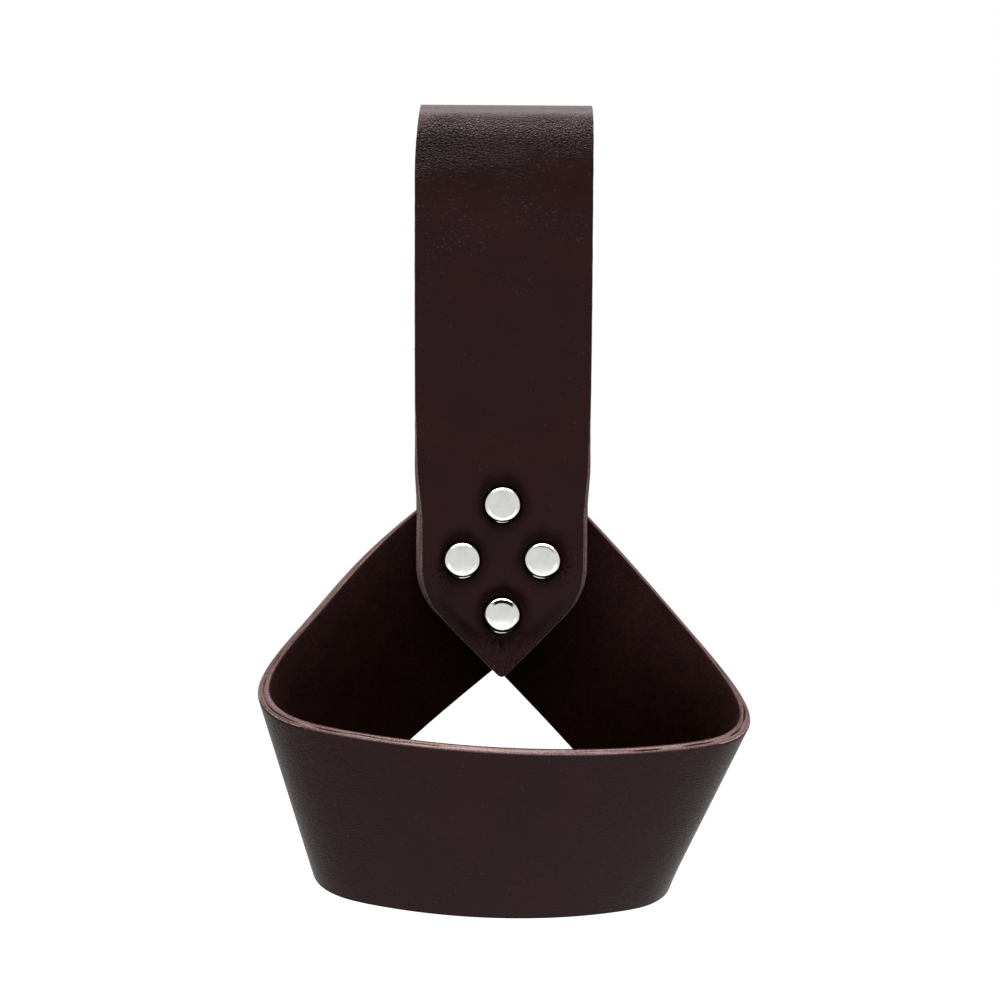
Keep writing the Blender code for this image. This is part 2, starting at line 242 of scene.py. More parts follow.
@dataclass(frozen=True)
class PointedEnd:
    """Outline of a strap's pointed end: round shoulders, straight slants and a small round tip."""

    reach: float
    half_width: float
    shoulder_radius: float = 0.0200
    blunt_half_width: float = 0.0012
    tip_radius: float = 0.0016
    side_length: float = 0.1000
    columns: int = 40

    def half_outline(self, steps: int = 60) -> Array:
        """Half of the outline, from the middle of the tip to the straight side.

        Args:
            steps: Points on each of its two arcs.

        Returns:
            Points (along, across), measured from the rivets' centre towards the tip.
        """
        apex = self.reach + self.blunt_half_width
        start = apex - self.half_width - self.shoulder_radius * tan(pi / 8)
        turn = np.linspace(0, pi / 4, steps)
        swing = np.stack([np.cos(turn), np.sin(turn)], -1)
        tip = [apex - self.tip_radius * sqrt(2), 0] + self.tip_radius * swing
        centre = [start, self.half_width - self.shoulder_radius]
        return np.vstack([tip, centre + self.shoulder_radius * swing[::-1, ::-1]])

    def at_shares(self, shares: Array) -> Array:
        """Outline points at shares of its half length.

        Args:
            shares: Numbers from -1 at one side, through 0 at the tip, to 1 at the other.

        Returns:
            Points (along, across).
        """
        half = self.half_outline()
        length = line_length(half)
        along, across = (np.interp(np.abs(shares) * length[-1], length, column) for column in half.T)
        return np.stack([along, np.sign(shares) * across], -1)

    def straight_reach(self, margin: float) -> float:
        """How far towards the tip the straight columns go."""
        return float(self.half_outline()[-1, 0]) - margin

    def distance(self, along: Array, across: Array, steps: int = 24) -> Array:
        """Distance from points on the end to its outline.

        Args:
            along: Distances from the rivets' centre towards the tip.
            across: Distances from the strap's middle line.
            steps: Points on each arc of the outline.

        Returns:
            Distances, 0 on the outline.
        """
        half = self.half_outline(steps)
        line = np.vstack([half, [half[-1, 0] - self.side_length, self.half_width]])
        spots = np.stack([along, np.abs(across)], -1)
        best = np.full(len(spots), np.inf)
        for first, second in zip(line, line[1:]):
            step = second - first
            share = np.clip((spots - first) @ step / (step @ step), 0, 1)
            best = np.minimum(best, np.hypot(*(spots - first - share[:, None] * step).T))
        return best


@dataclass
class FlatCut:
    """A strap as it lies flat after cutting: a grid of strip coordinates."""

    along: Array
    across: Array
    edge_distance: Array
    punched: Array

    def numbers(self) -> Array:
        """Number of each grid point."""
        return np.arange(self.along.size).reshape(self.along.shape)

    def rim(self) -> Array:
        """Numbers of the outline's points, in order round the strap."""
        grid = self.numbers()
        return np.concatenate([grid[:-1, 0], grid[-1, :-1], grid[:0:-1, -1], grid[0, :0:-1]])


@dataclass
class Strap:
    """A leather strap that is cut flat and then bent."""

    node: str
    slot: str
    finish: "LeatherFinish"
    flesh: "FleshFinish"
    stack: RivetedStack = RivetedStack()
    layer: float = 0.5
    width: float = 0.0500
    thickness: float = 0.0035
    edge_radius: float = 0.00045
    edge_rows: int = 5
    row_step: float = 0.00060
    wall_levels: int = 12
    wall_crown: float = 0.00012
    edge_waver: float = 0.00003
    fibre_length: float = 0.0021
    split_width: float = 0.42
    split_waver: float = 0.22
    split_wavelength: float = 0.011
    hole_radius: float = 0.0022
    probe: float = 0.0006
    flesh_soak: float = 0.5
    flesh_swell: float = 0.3
    patch_contrast: float = 0.25
    patch_length: float = 0.018
    grain_side: int = 1
    seed: int = 3

    @property
    def half_width(self) -> float:
        """Half of the strap's width."""
        return self.width / 2

    def start_end(self) -> tuple[PointedEnd, float]:
        """The first pointed end, and the distance along at which its rivets are centred."""
        raise NotImplementedError

    def finish_end(self) -> tuple[PointedEnd, float]:
        """The second pointed end, and the distance along at which its rivets are centred."""
        raise NotImplementedError

    def body_columns(self, first: float, last: float) -> Array:
        """Distances along of the straight columns between the two ends."""
        raise NotImplementedError

    def rivet_spots(self) -> Array:
        """Strip coordinates of every rivet that passes through the strap."""
        raise NotImplementedError

    def middle(self, along: Array, across: Array) -> Array:
        """Points of the bent strap's middle surface, in stack coordinates."""
        raise NotImplementedError

    def relief(self, along: Array, across: Array, edge_distance: Array) -> Array:
        """How far the grain face stands above its plain level."""
        return np.zeros_like(along)

    def groove(self, along: Array, across: Array) -> Array:
        """How deeply the cut edge has split along its middle."""
        return np.zeros_like(along)

    def pressed(self, along: Array, across: Array) -> Array:
        """How strongly the grain face is burnished or painted with shade, up to 1, and below 0 where
        painted light is added.
        """
        return np.zeros_like(along)

    def soaked(self, along: Array, across: Array) -> Array:
        """How darkly the flesh side is soaked with oil, from 0 to 1."""
        return np.full_like(along, self.flesh_soak)

    def edge_stain(self, along: Array, across: Array) -> Array:
        """How darkly the cut edge is stained, from 0 to 1."""
        raise NotImplementedError

    def swell(self, along: Array, across: Array) -> Array:
        """How strongly the grain's pebbles stand up, from 0 to about 1."""
        raise NotImplementedError

    def fans(self, along: Array, across: Array) -> Array:
        """Angle and distance from the nearest rivet, and how strongly the leather creases there."""
        return np.zeros((len(along), 3))

    def uneven(self, along: Array, across: Array, wavelength: float, kind: Uneven) -> Array:
        """One of the strap's uneven fields, over the flat strap."""
        return wavering(np.stack([along, across], -1), wavelength, self.seed + kind.value)

    def patches(self, along: Array, across: Array) -> Array:
        """Factor about 1 by which the pebbles are stronger here and weaker there."""
        return 1 + self.patch_contrast * self.uneven(along, across, self.patch_length, Uneven.PEBBLES)

    def rounding_steps(self) -> Array:
        """Distances from an edge at which its rounding needs a row."""
        return self.edge_radius * (1 - np.cos(np.linspace(0, pi / 2, self.edge_rows)))

    def row_shares(self) -> Array:
        """Rows across the strap, as shares of its half width."""
        near_edge = 1 - self.rounding_steps() / self.half_width
        inner = near_edge[-1] - self.row_step / self.half_width
        count = int(np.ceil(inner * self.half_width / self.row_step))
        half = np.concatenate([np.linspace(0, inner, count + 1), near_edge[::-1]])
        return np.concatenate([-half[:0:-1], half])

    def end_grid(self, end: PointedEnd, centre: float, heading: int) -> tuple[Array, Array]:
        """Columns that run out from the straight strap to the pointed outline.

        Args:
            end: The pointed outline.
            centre: Distance along of the rivets' centre.
            heading: 1 if the tip points along the strap, -1 if it points back.

        Returns:
            Distances along and across of the columns, the outline last.
        """
        shares = self.row_shares()
        start = np.full_like(shares, end.straight_reach(self.stack.pitch))
        base = np.stack([start, shares * end.half_width], -1)
        way = end.at_shares(shares) - base
        length = np.hypot(*way.T)
        near = self.rounding_steps()[:0:-1] * sqrt(2)
        scale = np.minimum(1, 0.5 * length / near[0]) / length
        close = 1 - near[None, :] * scale[:, None]
        far = np.linspace(0, 1, end.columns + 1)[1:-1]
        spread = far[None, :] * (close[:, :1] - 0.5 / end.columns)
        steps = np.hstack([spread, close, np.ones((len(shares), 1))])
        spots = base[:, None] + steps[:, :, None] * way[:, None]
        return centre + heading * spots[:, :, 0].T, spots[:, :, 1].T

    def cut_flat(self) -> FlatCut:
        """Cut the strap's outline and holes out of flat leather.

        Returns:
            The grid of the flat strap.
        """
        (first, first_centre), (last, last_centre) = self.start_end(), self.finish_end()
        low = first_centre - first.straight_reach(self.stack.pitch)
        high = last_centre + last.straight_reach(self.stack.pitch)
        body, shares = self.body_columns(low, high), self.row_shares()
        start_along, start_across = self.end_grid(first, first_centre, -1)
        finish_along, finish_across = self.end_grid(last, last_centre, 1)
        body_along = np.repeat(body[:, None], len(shares), 1)
        body_across = np.repeat(shares[None] * self.half_width, len(body), 0)
        along = np.vstack([start_along[::-1], body_along, finish_along])
        across = np.vstack([start_across[::-1], body_across, finish_across])
        along, across, punched = self.punch(along, across)
        flat_along, flat_across = along.ravel(), across.ravel()
        near_start = first.distance(first_centre - flat_along, flat_across)
        near_finish = last.distance(flat_along - last_centre, flat_across)
        distance = np.where(flat_along < (low + high) / 2, near_start, near_finish)
        return FlatCut(along, across, distance.reshape(along.shape), punched)

    def punch(self, along: Array, across: Array) -> tuple[Array, Array, Array]:
        """Punch the rivet holes.

        Args:
            along: Distances along of the grid.
            across: Distances across of the grid.

        Returns:
            The grid with its points drawn to each hole's rim, and which points are punched out.
        """
        punched = np.zeros(along.shape, bool)
        for spot_along, spot_across in self.rivet_spots():
            reach = np.hypot(along - spot_along, across - spot_across)
            inside = reach < self.hole_radius
            punched |= inside
            near = inside.copy()
            for axis in (0, 1):
                near |= np.roll(near, 1, axis) | np.roll(near, -1, axis)
            scale = np.where(near & ~inside, self.hole_radius / np.maximum(reach, TINY), 1)
            along = spot_along + (along - spot_along) * scale
            across = spot_across + (across - spot_across) * scale
        return along, across, punched

    def bend(self, along: Array, across: Array, depth: Array) -> Array:
        """Bend flat leather to its shape.

        Args:
            along: Distances along the strap.
            across: Distances across it.
            depth: Heights above its middle, + towards the grain side.

        Returns:
            Points in the row frame.
        """
        step = self.probe
        run = self.middle(along + step, across) - self.middle(along - step, across)
        rise = self.middle(along, across + step) - self.middle(along, across - step)
        outward = unit(np.cross(run, rise)) * self.grain_side
        return self.middle(along, across) + outward * depth[:, None] + np.array(self.stack.centre)

    def wall(self, cut: FlatCut) -> tuple[Array, Array]:
        """Cut edge of the strap between its two faces.

        Args:
            cut: The flat strap.

        Returns:
            Strip coordinates (along, across, depth) of the wall's points, level by level, and
            how deeply each lies in the split along the edge.
        """
        rim = cut.rim()
        loop = np.stack([cut.along.ravel()[rim], cut.across.ravel()[rim]], -1)
        tangent = unit(np.roll(loop, -1, 0) - np.roll(loop, 1, 0))
        outward = np.stack([tangent[:, 1], -tangent[:, 0]], -1)
        split = self.groove(*loop.T)
        course = self.split_waver * self.uneven(*loop.T, self.split_wavelength, Uneven.SPLIT_COURSE)
        places, splits = [], []
        for level in np.linspace(1, -1, self.wall_levels + 1)[1:-1]:
            depth = np.full((len(loop), 1), level * (self.thickness / 2 - self.edge_radius))
            notch = split * np.clip(1 - np.abs(level - course) / self.split_width, 0, 1)
            seed = self.seed + Uneven.FIBRES.value
            rough = self.edge_waver * wavering(np.hstack([loop, depth]), self.fibre_length, seed)
            out = (self.wall_crown + rough) * (1 - level * level) - notch
            places.append(np.hstack([loop + outward * out[:, None], depth]))
            splits.append(notch)
        return np.vstack(places), np.concatenate(splits)

    def mesh(self) -> bpy.types.Mesh:
        """Make the strap's closed mesh, with the marks that its materials read.

        Returns:
            The mesh, in the row frame.
        """
        cut = self.cut_flat()
        along, across, edge = cut.along.ravel(), cut.across.ravel(), cut.edge_distance.ravel()
        turn = 1 - np.clip(edge / self.edge_radius, 0, 1)
        level = self.thickness / 2 - self.edge_radius * (1 - np.sqrt(1 - turn**2))
        wall, split = self.wall(cut)
        top = self.bend(along, across, level + self.relief(along, across, edge))
        spots = np.vstack([top, self.bend(along, across, -level), self.bend(*wall.T)])
        faces, side_faces = self.faces(cut)
        mesh = bpy.data.meshes.new(f"{self.node}_leather")
        mesh.from_pydata(spots.tolist(), [], faces)
        finishes = np.zeros(len(faces), np.int32)
        finishes[side_faces:2 * side_faces] = 1
        mesh.polygons.foreach_set("material_index", finishes)
        places = (np.stack([across, along, side * level], -1) for side in (1, -1))
        swell, fans, plain = self.swell(along, across), self.fans(along, across), np.zeros_like(along)
        stain = self.edge_stain(*wall[:, :2].T)
        marks = {
            Mark.PLACE: (*places, wall[:, [1, 0, 2]]),
            Mark.EDGE: (turn, turn, np.ones(len(wall))),
            Mark.PRESSED: (self.pressed(along, across), self.soaked(along, across), stain),
            Mark.SWELL: (swell, self.flesh_swell + plain, np.zeros(len(wall))),
            Mark.FAN: (fans, 0 * fans, 0 * wall),
            Mark.FISSURE: (plain, plain, split / max(float(split.max()), TINY)),
        }
        for mark, parts in marks.items():
            self.write(mesh, mark, np.concatenate(parts))
        self.clean(mesh)
        return mesh

    def faces(self, cut: FlatCut) -> tuple[list[list[int]], int]:
        """Faces of both sides, of the cut edge and of the punched holes.

        Args:
            cut: The flat strap.

        Returns:
            Corner numbers of each face, the grain side's first and the flesh side's next, and how
            many faces each side has.
        """
        numbers, rim = cut.numbers(), cut.rim()
        count = numbers.size
        corners = [numbers[:-1, :-1], numbers[1:, :-1], numbers[1:, 1:], numbers[:-1, 1:]]
        gone = np.any([cut.punched.ravel()[part] for part in corners], axis=0)
        quads = np.stack([part[~gone] for part in corners], -1)
        found = [quads, quads[:, ::-1] + count]
        between = 2 * count + np.arange((self.wall_levels - 1) * len(rim)).reshape(-1, len(rim))
        levels = [rim, *between, rim + count]
        for upper, lower in zip(levels, levels[1:]):
            found.append(np.stack([upper, lower, np.roll(lower, -1), np.roll(upper, -1)], -1))
        hole_sides = (
            (gone[:, 1:] != gone[:, :-1], numbers[:-1, 1:-1], numbers[1:, 1:-1]),
            (gone[1:] != gone[:-1], numbers[1:-1, :-1], numbers[1:-1, 1:]),
        )
        for border, start, finish in hole_sides:
            first, second = start[border], finish[border]
            found.append(np.stack([first, second, second + count, first + count], -1))
        return np.vstack(found).tolist(), len(quads)

    @staticmethod
    def write(mesh: bpy.types.Mesh, mark: Mark, values: Array) -> None:
        """Store a number or a vector for each of the mesh's points."""
        kind, key = ("FLOAT", "value") if values.ndim == 1 else ("FLOAT_VECTOR", "vector")
        layer = mesh.attributes.new(mark.value, kind, "POINT")
        layer.data.foreach_set(key, values.astype(np.float32).ravel())

    @staticmethod
    def clean(mesh: bpy.types.Mesh) -> None:
        """Drop the punched points, face everything outwards and shade it smooth."""
        work = bmesh.new()
        work.from_mesh(mesh)
        loose = [vert for vert in work.verts if not vert.link_faces]
        bmesh.ops.delete(work, geom=loose, context="VERTS")
        bmesh.ops.recalc_face_normals(work, faces=work.faces)
        work.to_mesh(mesh)
        work.free()
        mesh.shade_smooth()

    def build(self) -> bpy.types.Object:
        """Make the strap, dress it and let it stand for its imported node.

        Returns:
            The finished strap.
        """
        piece = placed(f"{self.node}_bent", self.mesh())
        piece.data.materials.append(self.finish.material())
        piece.data.materials.append(self.flesh.material())
        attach(piece, ROOT_BODY)
        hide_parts(self.node)
        log.info("%s: %d faces", piece.name, len(piece.data.polygons))
        return piece


@dataclass
class BeltLoop(Strap):
    """Strap folded over at the top, with a pointed flap in front and a leaf behind."""

    layer: float = 1.5
    flap_reach: float = 0.0331
    rear_reach: float = 0.0322
    rise: float = 0.1300
    depth: float = 0.0240
    setback: float = 0.0010
    spread: Ramp = Ramp(0.0260, 0.0600)
    cup_end: Ramp = Ramp(0.0240, 0.0260)
    samples: int = 1400
    columns: tuple[int, ...] = (70, 30, 44, 28, 44)
    flap_columns: int = 70
    lift_margin: float = 0.0085
    left_lift: float = radians(20.0)
    right_lift: float = radians(5.0)
    lift_end: Ramp = Ramp(0.0020, 0.0260)
    corner_draw: float = 0.0014
    corner_end: Ramp = Ramp(0.0, 0.0240)
    edge_pinch: float = 0.0010
    pinch_end: Ramp = Ramp(0.0120, 0.0160)
    seat_lift: float = 0.00030
    pillow_lift: float = 0.00115
    pillow: Ramp = Ramp(0.0056, 0.0040)
    pillow_end: Ramp = Ramp(0.0250, 0.0160)
    pillow_margin: float = 0.0050
    flat_tip: Ramp = Ramp(0.0170, 0.0080)
    tip_flattening: float = 0.65
    fan_start: Ramp = Ramp(0.0056, 0.0010)
    fan_end: Ramp = Ramp(0.0088, 0.0034)
    fan_narrowing: float = 2.4
    bottom_narrowing: float = 1.2
    pebble_slant: float = 0.0035
    pebbles_end: Ramp = Ramp(0.0130, 0.0170)
    faint_end: Ramp = Ramp(0.0130, 0.0680)
    crest_end: Ramp = Ramp(0.0072, 0.0042)
    crest_swell: float = 0.04
    wrinkled_tip: Ramp = Ramp(0.0170, 0.0090)
    plain_swell: float = 0.05
    faint_swell: float = 0.06
    pebble_swell: float = 0.92
    tip_swell: float = 0.18
    side_rub: Ramp = Ramp(-0.0260, 0.0080)
    slant_rub: Ramp = Ramp(0.0, 0.0120)
    top_stain: float = 0.75
    side_stain: float = 0.35
    slant_stain: float = 0.03
    # The burnished halo is shifted up, as painted shade on the upper slope of each seat.
    halo_shade_rise: float = 0.0016
    halo_end: Ramp = Ramp(0.0050, 0.0052)
    halo_share: float = 0.70
    halo_waver: float = 0.0005
    halo_wavelength: float = 0.007
    # Painted contact shadow round each cap's foot.
    contact_shadow_end: Ramp = Ramp(0.0056, 0.0007)
    # Painted shade band below the fold: darker colour and less specular there.
    shade_band_start: Ramp = Ramp(0.0120, 0.0050)
    shade_band_end: Ramp = Ramp(0.0260, 0.0160)
    shade_band_share: float = 0.32
    # Painted light at the flap's tip, where the cup ring casts a shadow.
    tip_light_ramp: Ramp = Ramp(0.0200, 0.0060)
    patch_contrast: float = 0.30
    patch_length: float = 0.016
    grain_side: int = -1
    seed: int = 11

    def __post_init__(self) -> None:
        """Work out the side view of the loop."""
        layer, radius = self.layer * self.stack.pitch, (self.depth - self.thickness) / 2
        fold_height = self.rise - self.depth / 2
        up = np.linspace(-self.flap_reach, fold_height, self.samples)
        front = np.stack([-layer - (radius - self.setback - layer) * self.spread.at(up), up], -1)
        turn = np.linspace(0, pi, self.samples)[1:-1]
        fold = [self.setback, fold_height] + radius * np.stack([-np.cos(turn), np.sin(turn)], -1)
        down = np.linspace(fold_height, -self.rear_reach, self.samples)
        rear = np.stack([layer + (radius + self.setback - layer) * self.spread.at(down), down], -1)
        self.side_view = np.vstack([front, fold, rear])
        self.along_path = line_length(self.side_view) - self.flap_reach
        self.turning = (self.along_path[0] + self.along_path[-1]) / 2
        self.rear_level = self.along_path[-1] - self.rear_reach
        self.fold_start = float(self.along_path[self.samples - 1])
        self.fold_end = self.fold_start + pi * radius
        self.crest = self.fold_start + pi * radius / 2

    def start_end(self) -> tuple[PointedEnd, float]:
        """The flap."""
        return PointedEnd(self.flap_reach, self.half_width, columns=self.flap_columns), 0.0

    def finish_end(self) -> tuple[PointedEnd, float]:
        """The leaf behind."""
        return PointedEnd(self.rear_reach, self.half_width), self.rear_level

    def body_columns(self, first: float, last: float) -> Array:
        """Fine columns by the rivets and over the fold, wider ones between."""
        quiet = self.pillow_end.end
        stops = (first, quiet, self.fold_start, self.fold_end, self.rear_level - quiet, last)
        runs = zip(stops, stops[1:], self.columns)
        return np.concatenate([[first], *(np.linspace(*run)[1:] for run in runs)])

    def level(self, along: Array) -> Array:
        """Height above the rivets' centre of places near either end."""
        return np.where(along < self.turning, along, self.rear_level - along)

    def rivet_spots(self) -> Array:
        """Strip coordinates of the four rivets in the flap and in the leaf behind."""
        spots = []
        for arc, height in self.stack.rivets.values():
            spots.append((height, self.stack.arc_on_layer(arc, -self.layer)))
            spots.append((self.rear_level - height, self.stack.arc_on_layer(arc, self.layer)))
        return np.array(spots)

    def flap_lift(self, across: Array, height: Array) -> Array:
        """How far the flap's free edges stand off towards the front."""
        margin = np.maximum(np.abs(across) - self.half_width + self.lift_margin, 0)
        slope = np.where(across < 0, tan(self.left_lift), tan(self.right_lift))
        return (1 - self.lift_end.at(height)) * slope * margin * margin / (2 * self.lift_margin)

    def middle(self, along: Array, across: Array) -> Array:
        """Middle surface of the folded strap.

        Args:
            along: Distances along, 0 at the rivets' centre in front.
            across: Distances across.

        Returns:
            Points in stack coordinates.
        """
        offset, height = (np.interp(along, self.along_path, column) for column in self.side_view.T)
        height = np.where(along < self.along_path[0], along, height)
        height = np.where(along > self.along_path[-1], self.rear_level - along, height)
        front, side = along < self.turning, across / self.half_width
        fore = self.stack.place(across, height, -self.layer)
        aft = self.stack.place(across, height, self.layer)
        cupped = np.where(front[:, None], fore, aft)
        layer = np.where(front, -self.layer, self.layer) * self.stack.pitch
        curve = 1 - self.cup_end.at(height)
        drawn = self.corner_draw * (1 - self.corner_end.at(np.abs(along - self.crest)))
        pinched = self.edge_pinch * (1 - self.pinch_end.at(height)) * front
        sideways = across + curve * (cupped[:, 0] - across)
        sideways = sideways + drawn * np.clip(-side, 0, 1) ** 3 - pinched * side**3
        lift = np.where(front, self.flap_lift(across, height), 0)
        return np.stack([sideways, offset + curve * (cupped[:, 1] - layer) - lift, height], -1)

    def rivet_reach(self, along: Array, across: Array) -> Array:
        """Distances from each place to each rivet, one column per rivet."""
        spots = self.rivet_spots()
        return np.hypot(along[:, None] - spots[:, 0], across[:, None] - spots[:, 1])

    def relief(self, along: Array, across: Array, edge_distance: Array) -> Array:
        """Leather that swells between the pressed-in rivets, least of all at the tips."""
        level = self.level(along)
        rising = self.pillow.at(self.rivet_reach(along, across)).prod(1)
        swell = self.seat_lift + (self.pillow_lift - self.seat_lift) * rising
        tip = 1 - self.tip_flattening * self.flat_tip.at(-level)
        margin = Ramp(self.edge_radius, self.pillow_margin).at(edge_distance)
        return swell * tip * (1 - self.pillow_end.at(level)) * margin

    def fans(self, along: Array, across: Array) -> Array:
        """Where fine creases fan out from the outer sides of the lower three rivets.

        Args:
            along: Distances along the strap.
            across: Distances across it.

        Returns:
            Angle round the nearest rivet from its outer side, distance from it and strength.
        """
        nearest = self.rivet_spots()[self.rivet_reach(along, across).argmin(1)]
        up = self.level(nearest[:, 0])
        side, rise = across - nearest[:, 1], self.level(along) - up
        below, leftmost = up < -self.fan_start.start, nearest[:, 1] < -self.fan_start.start
        heading = np.where(leftmost, FanHeading.LEFT.value, FanHeading.RIGHT.value)
        angle = np.arctan2(rise, side) - np.where(below, FanHeading.BOTTOM.value, heading)
        angle = np.arctan2(np.sin(angle), np.cos(angle))
        reach = np.hypot(side, rise)
        narrow = np.where(below, self.bottom_narrowing, self.fan_narrowing)
        strength = self.fan_start.at(reach) * (1 - self.fan_end.at(reach))
        strength = strength * ease(1 - narrow * (1 - np.cos(angle))) * (up < self.stack.spread_up / 2)
        return np.stack([angle, reach, strength], -1)

    def swell(self, along: Array, across: Array) -> Array:
        """Pebbles stand up round the fold, further down on the left, and wrinkles near the tip."""
        away = np.abs(along - self.crest)
        below = away + self.pebble_slant * across / self.half_width
        near = (1 - self.pebbles_end.at(below)) ** 2
        far = 1 - self.faint_end.at(below)
        crest = self.crest_swell + (1 - self.crest_swell) * self.crest_end.at(away)
        fold = self.faint_swell * far * crest + self.pebble_swell * near * crest
        tip = self.tip_swell * self.wrinkled_tip.at(-self.level(along))
        return (self.plain_swell * (1 - near) + fold + tip) * self.patches(along, across)

    def edge_stain(self, along: Array, across: Array) -> Array:
        """The flap's straight edges are rubbed pale low down, and its slanted edges more so."""
        level = self.level(along)
        side = (self.top_stain - self.side_stain) * self.side_rub.at(-level)
        return self.top_stain - side - (self.side_stain - self.slant_stain) * self.slant_rub.at(-level)

    def pressed(self, along: Array, across: Array) -> Array:
        """Burnish round each rivet, shifted up as painted shade above it, with a painted contact shadow at
        each cap's foot and faint painted shade below the fold; the flap's tip is below 0, for painted
        light.
        """
        # Halo shifted up, as painted shade above each rivet.
        rise = np.where(along < self.turning, -self.halo_shade_rise, self.halo_shade_rise)
        reach = self.rivet_reach(along + rise, across).min(1)
        uneven = self.halo_waver * self.uneven(along, across, self.halo_wavelength, Uneven.HALO)
        halo = 1 - self.halo_end.at(reach + uneven)
        # Painted contact shadow close round each cap's foot.
        contact_shadow = 1 - self.contact_shadow_end.at(self.rivet_reach(along, across).min(1))
        away = np.abs(along - self.crest)
        # Band of painted shade below the fold.
        rubbed = self.shade_band_start.at(away) * (1 - self.shade_band_end.at(away))
        near = self.halo_share * halo + (1 - self.halo_share) * contact_shadow
        # Below 0 at the flap's tip, for painted light.
        return np.maximum(near, self.shade_band_share * rubbed) - self.tip_light_ramp.at(-self.level(along))


@dataclass
class CupRing(Strap):
    """Strap bent round into the flared cup ring, its two pointed ends crossed in the stack."""

    end_reach: float = 0.0300
    half_length: float = 0.1582
    front_bend: float = 0.1446
    corner_bend: float = 0.0109
    side_bend: float = 0.1506
    corner_distance: float = 0.0625
    corner_length: float = 0.02055
    bend_blend: float = 0.03225
    stack_bend_length: float = 0.0450
    straight_ruling: float = 0.0145
    front_lean: float = radians(18.5)
    corner_ruling: float = radians(21.0)
    crossing_angle: float = radians(42.2)
    standoff: float = 0.0481
    drop: float = 0.0688
    crossing_rise: float = 0.0020
    yaw: float = radians(6.4)
    roll: float = radians(3.4)
    layer_end: Ramp = Ramp(0.0280, 0.0340)
    column_step: float = 0.0019
    column_turn: float = radians(3.2)
    end_column_step: float = 0.0008
    stations: int = 961
    halvings: int = 26
    plain_swell: float = 0.07
    corner_swell: float = 0.13
    swell_length: float = 0.022
    pale_edge: float = 0.0120
    pale_side: Ramp = Ramp(0.068, 0.050)
    pale_side_depth: float = 0.030
    pale_side_share: float = 0.60
    dark_front_right_end: Ramp = Ramp(0.075, 0.040)
    dark_front_right_share: float = 0.30
    rubbed_length: float = 0.045
    split_depth: float = 0.00034
    split_edge: Ramp = Ramp(0.0225, 0.00125)
    split_distance: float = 0.052
    split_length: float = 0.030
    split_share: float = 0.30
    split_middle: float = 0.75
    split_contrast: float = 0.45
    split_patch: float = 0.013
    split_range: tuple[float, float] = (0.1, 1.4)
    seed: int = 23

    def __post_init__(self) -> None:
        """Work out one half of the ring from the middle of its front to the crossing."""
        along = np.linspace(0, self.half_length, self.stations)
        bend, slope, lean = self.bending(along), self.ruling(along), self.front_lean
        point = np.array([0, -self.standoff, -self.drop])
        axes = np.array([[1, 0, 0], [0, cos(lean), sin(lean)], [0, -sin(lean), cos(lean)]])
        points, frames, step = [point], [axes], along[1] - along[0]
        for index in range(self.stations - 1):
            curve = (bend[index] + bend[index + 1]) / 2
            twist = curve * (slope[index] + slope[index + 1]) / 2
            turn = Vector((twist * axes[0] + curve * axes[2]) * step)
            halfway, whole = (np.array(Matrix.Rotation(turn.length * part, 3, turn)) for part in (0.5, 1))
            point = point + (halfway @ axes[0]) * step
            axes = axes @ whole.T
            points.append(point)
            frames.append(axes)
        closing = ease(along / self.half_length)[:, None]
        self.half_along, self.half_bend, self.half_slope = along, bend, slope
        self.half_frames = np.array(frames)
        self.half_points = np.array(points) - closing * (points[-1] - np.array([0, 0, self.crossing_rise]))
        self.tilt = np.array(Matrix.Rotation(self.yaw, 3, "Z") @ Matrix.Rotation(self.roll, 3, "Y"))

    def bending(self, along: Array) -> Array:
        """Bend of the ring's middle line at distances from the middle of its front."""
        front, corner, side = 1 / self.front_bend, 1 / self.corner_bend, 1 / self.side_bend
        stack = cos(self.crossing_angle) ** 2 / self.stack.bend_radius
        half_corner, half_blend = self.corner_length / 2, self.bend_blend / 2
        changes = (
            (self.corner_distance - half_corner - half_blend, corner - front),
            (self.corner_distance + half_corner - half_blend, side - corner),
            (self.half_length - self.stack_bend_length, stack - side),
        )
        return front + sum(change * Ramp(start, self.bend_blend).at(along) for start, change in changes)

    def ruling(self, along: Array) -> Array:
        """Slope of the straight lines across the strap, about which it bends."""
        straight = self.half_length - self.straight_ruling
        at_corner, at_stack = tan(self.corner_ruling), tan(self.crossing_angle)
        climb = Ramp(self.corner_distance, straight - self.corner_distance).at(along)
        return at_corner * np.minimum(along / self.corner_distance, 1) + (at_stack - at_corner) * climb

    def start_end(self) -> tuple[PointedEnd, float]:
        """The end that comes from the left."""
        return PointedEnd(self.end_reach, self.half_width), -self.half_length

    def finish_end(self) -> tuple[PointedEnd, float]:
        """The end that comes from the right."""
        return PointedEnd(self.end_reach, self.half_width), self.half_length

    def body_columns(self, first: float, last: float) -> Array:
        """Columns by length where the strap is flat and by turn where it bends."""
        measure = 1 / self.column_step + self.half_bend / self.column_turn
        near_end = self.half_along > self.half_length - self.end_reach
        measure = np.where(near_end, 1 / self.end_column_step, measure)
        total = running_sum((measure[1:] + measure[:-1]) / 2 * np.diff(self.half_along))
        end = np.interp(last, self.half_along, total)
        half = np.interp(np.linspace(0, end, int(end) + 1), total, self.half_along)
        return np.concatenate([-half[:0:-1], half])

    def rivet_spots(self) -> Array:
        """Strip coordinates of the four rivets in each of the two ends."""
        spots = []
        for side in (-1, 1):
            angle = self.crossing_angle + side * self.roll
            for arc, height in self.stack.rivets.values():
                over = side * self.stack.arc_on_layer(arc, side * self.layer)
                up = height - self.crossing_rise
                past = up * sin(angle) - over * cos(angle)
                spots.append((side * (self.half_length + past), over * sin(angle) + up * cos(angle)))
        return np.array(spots)

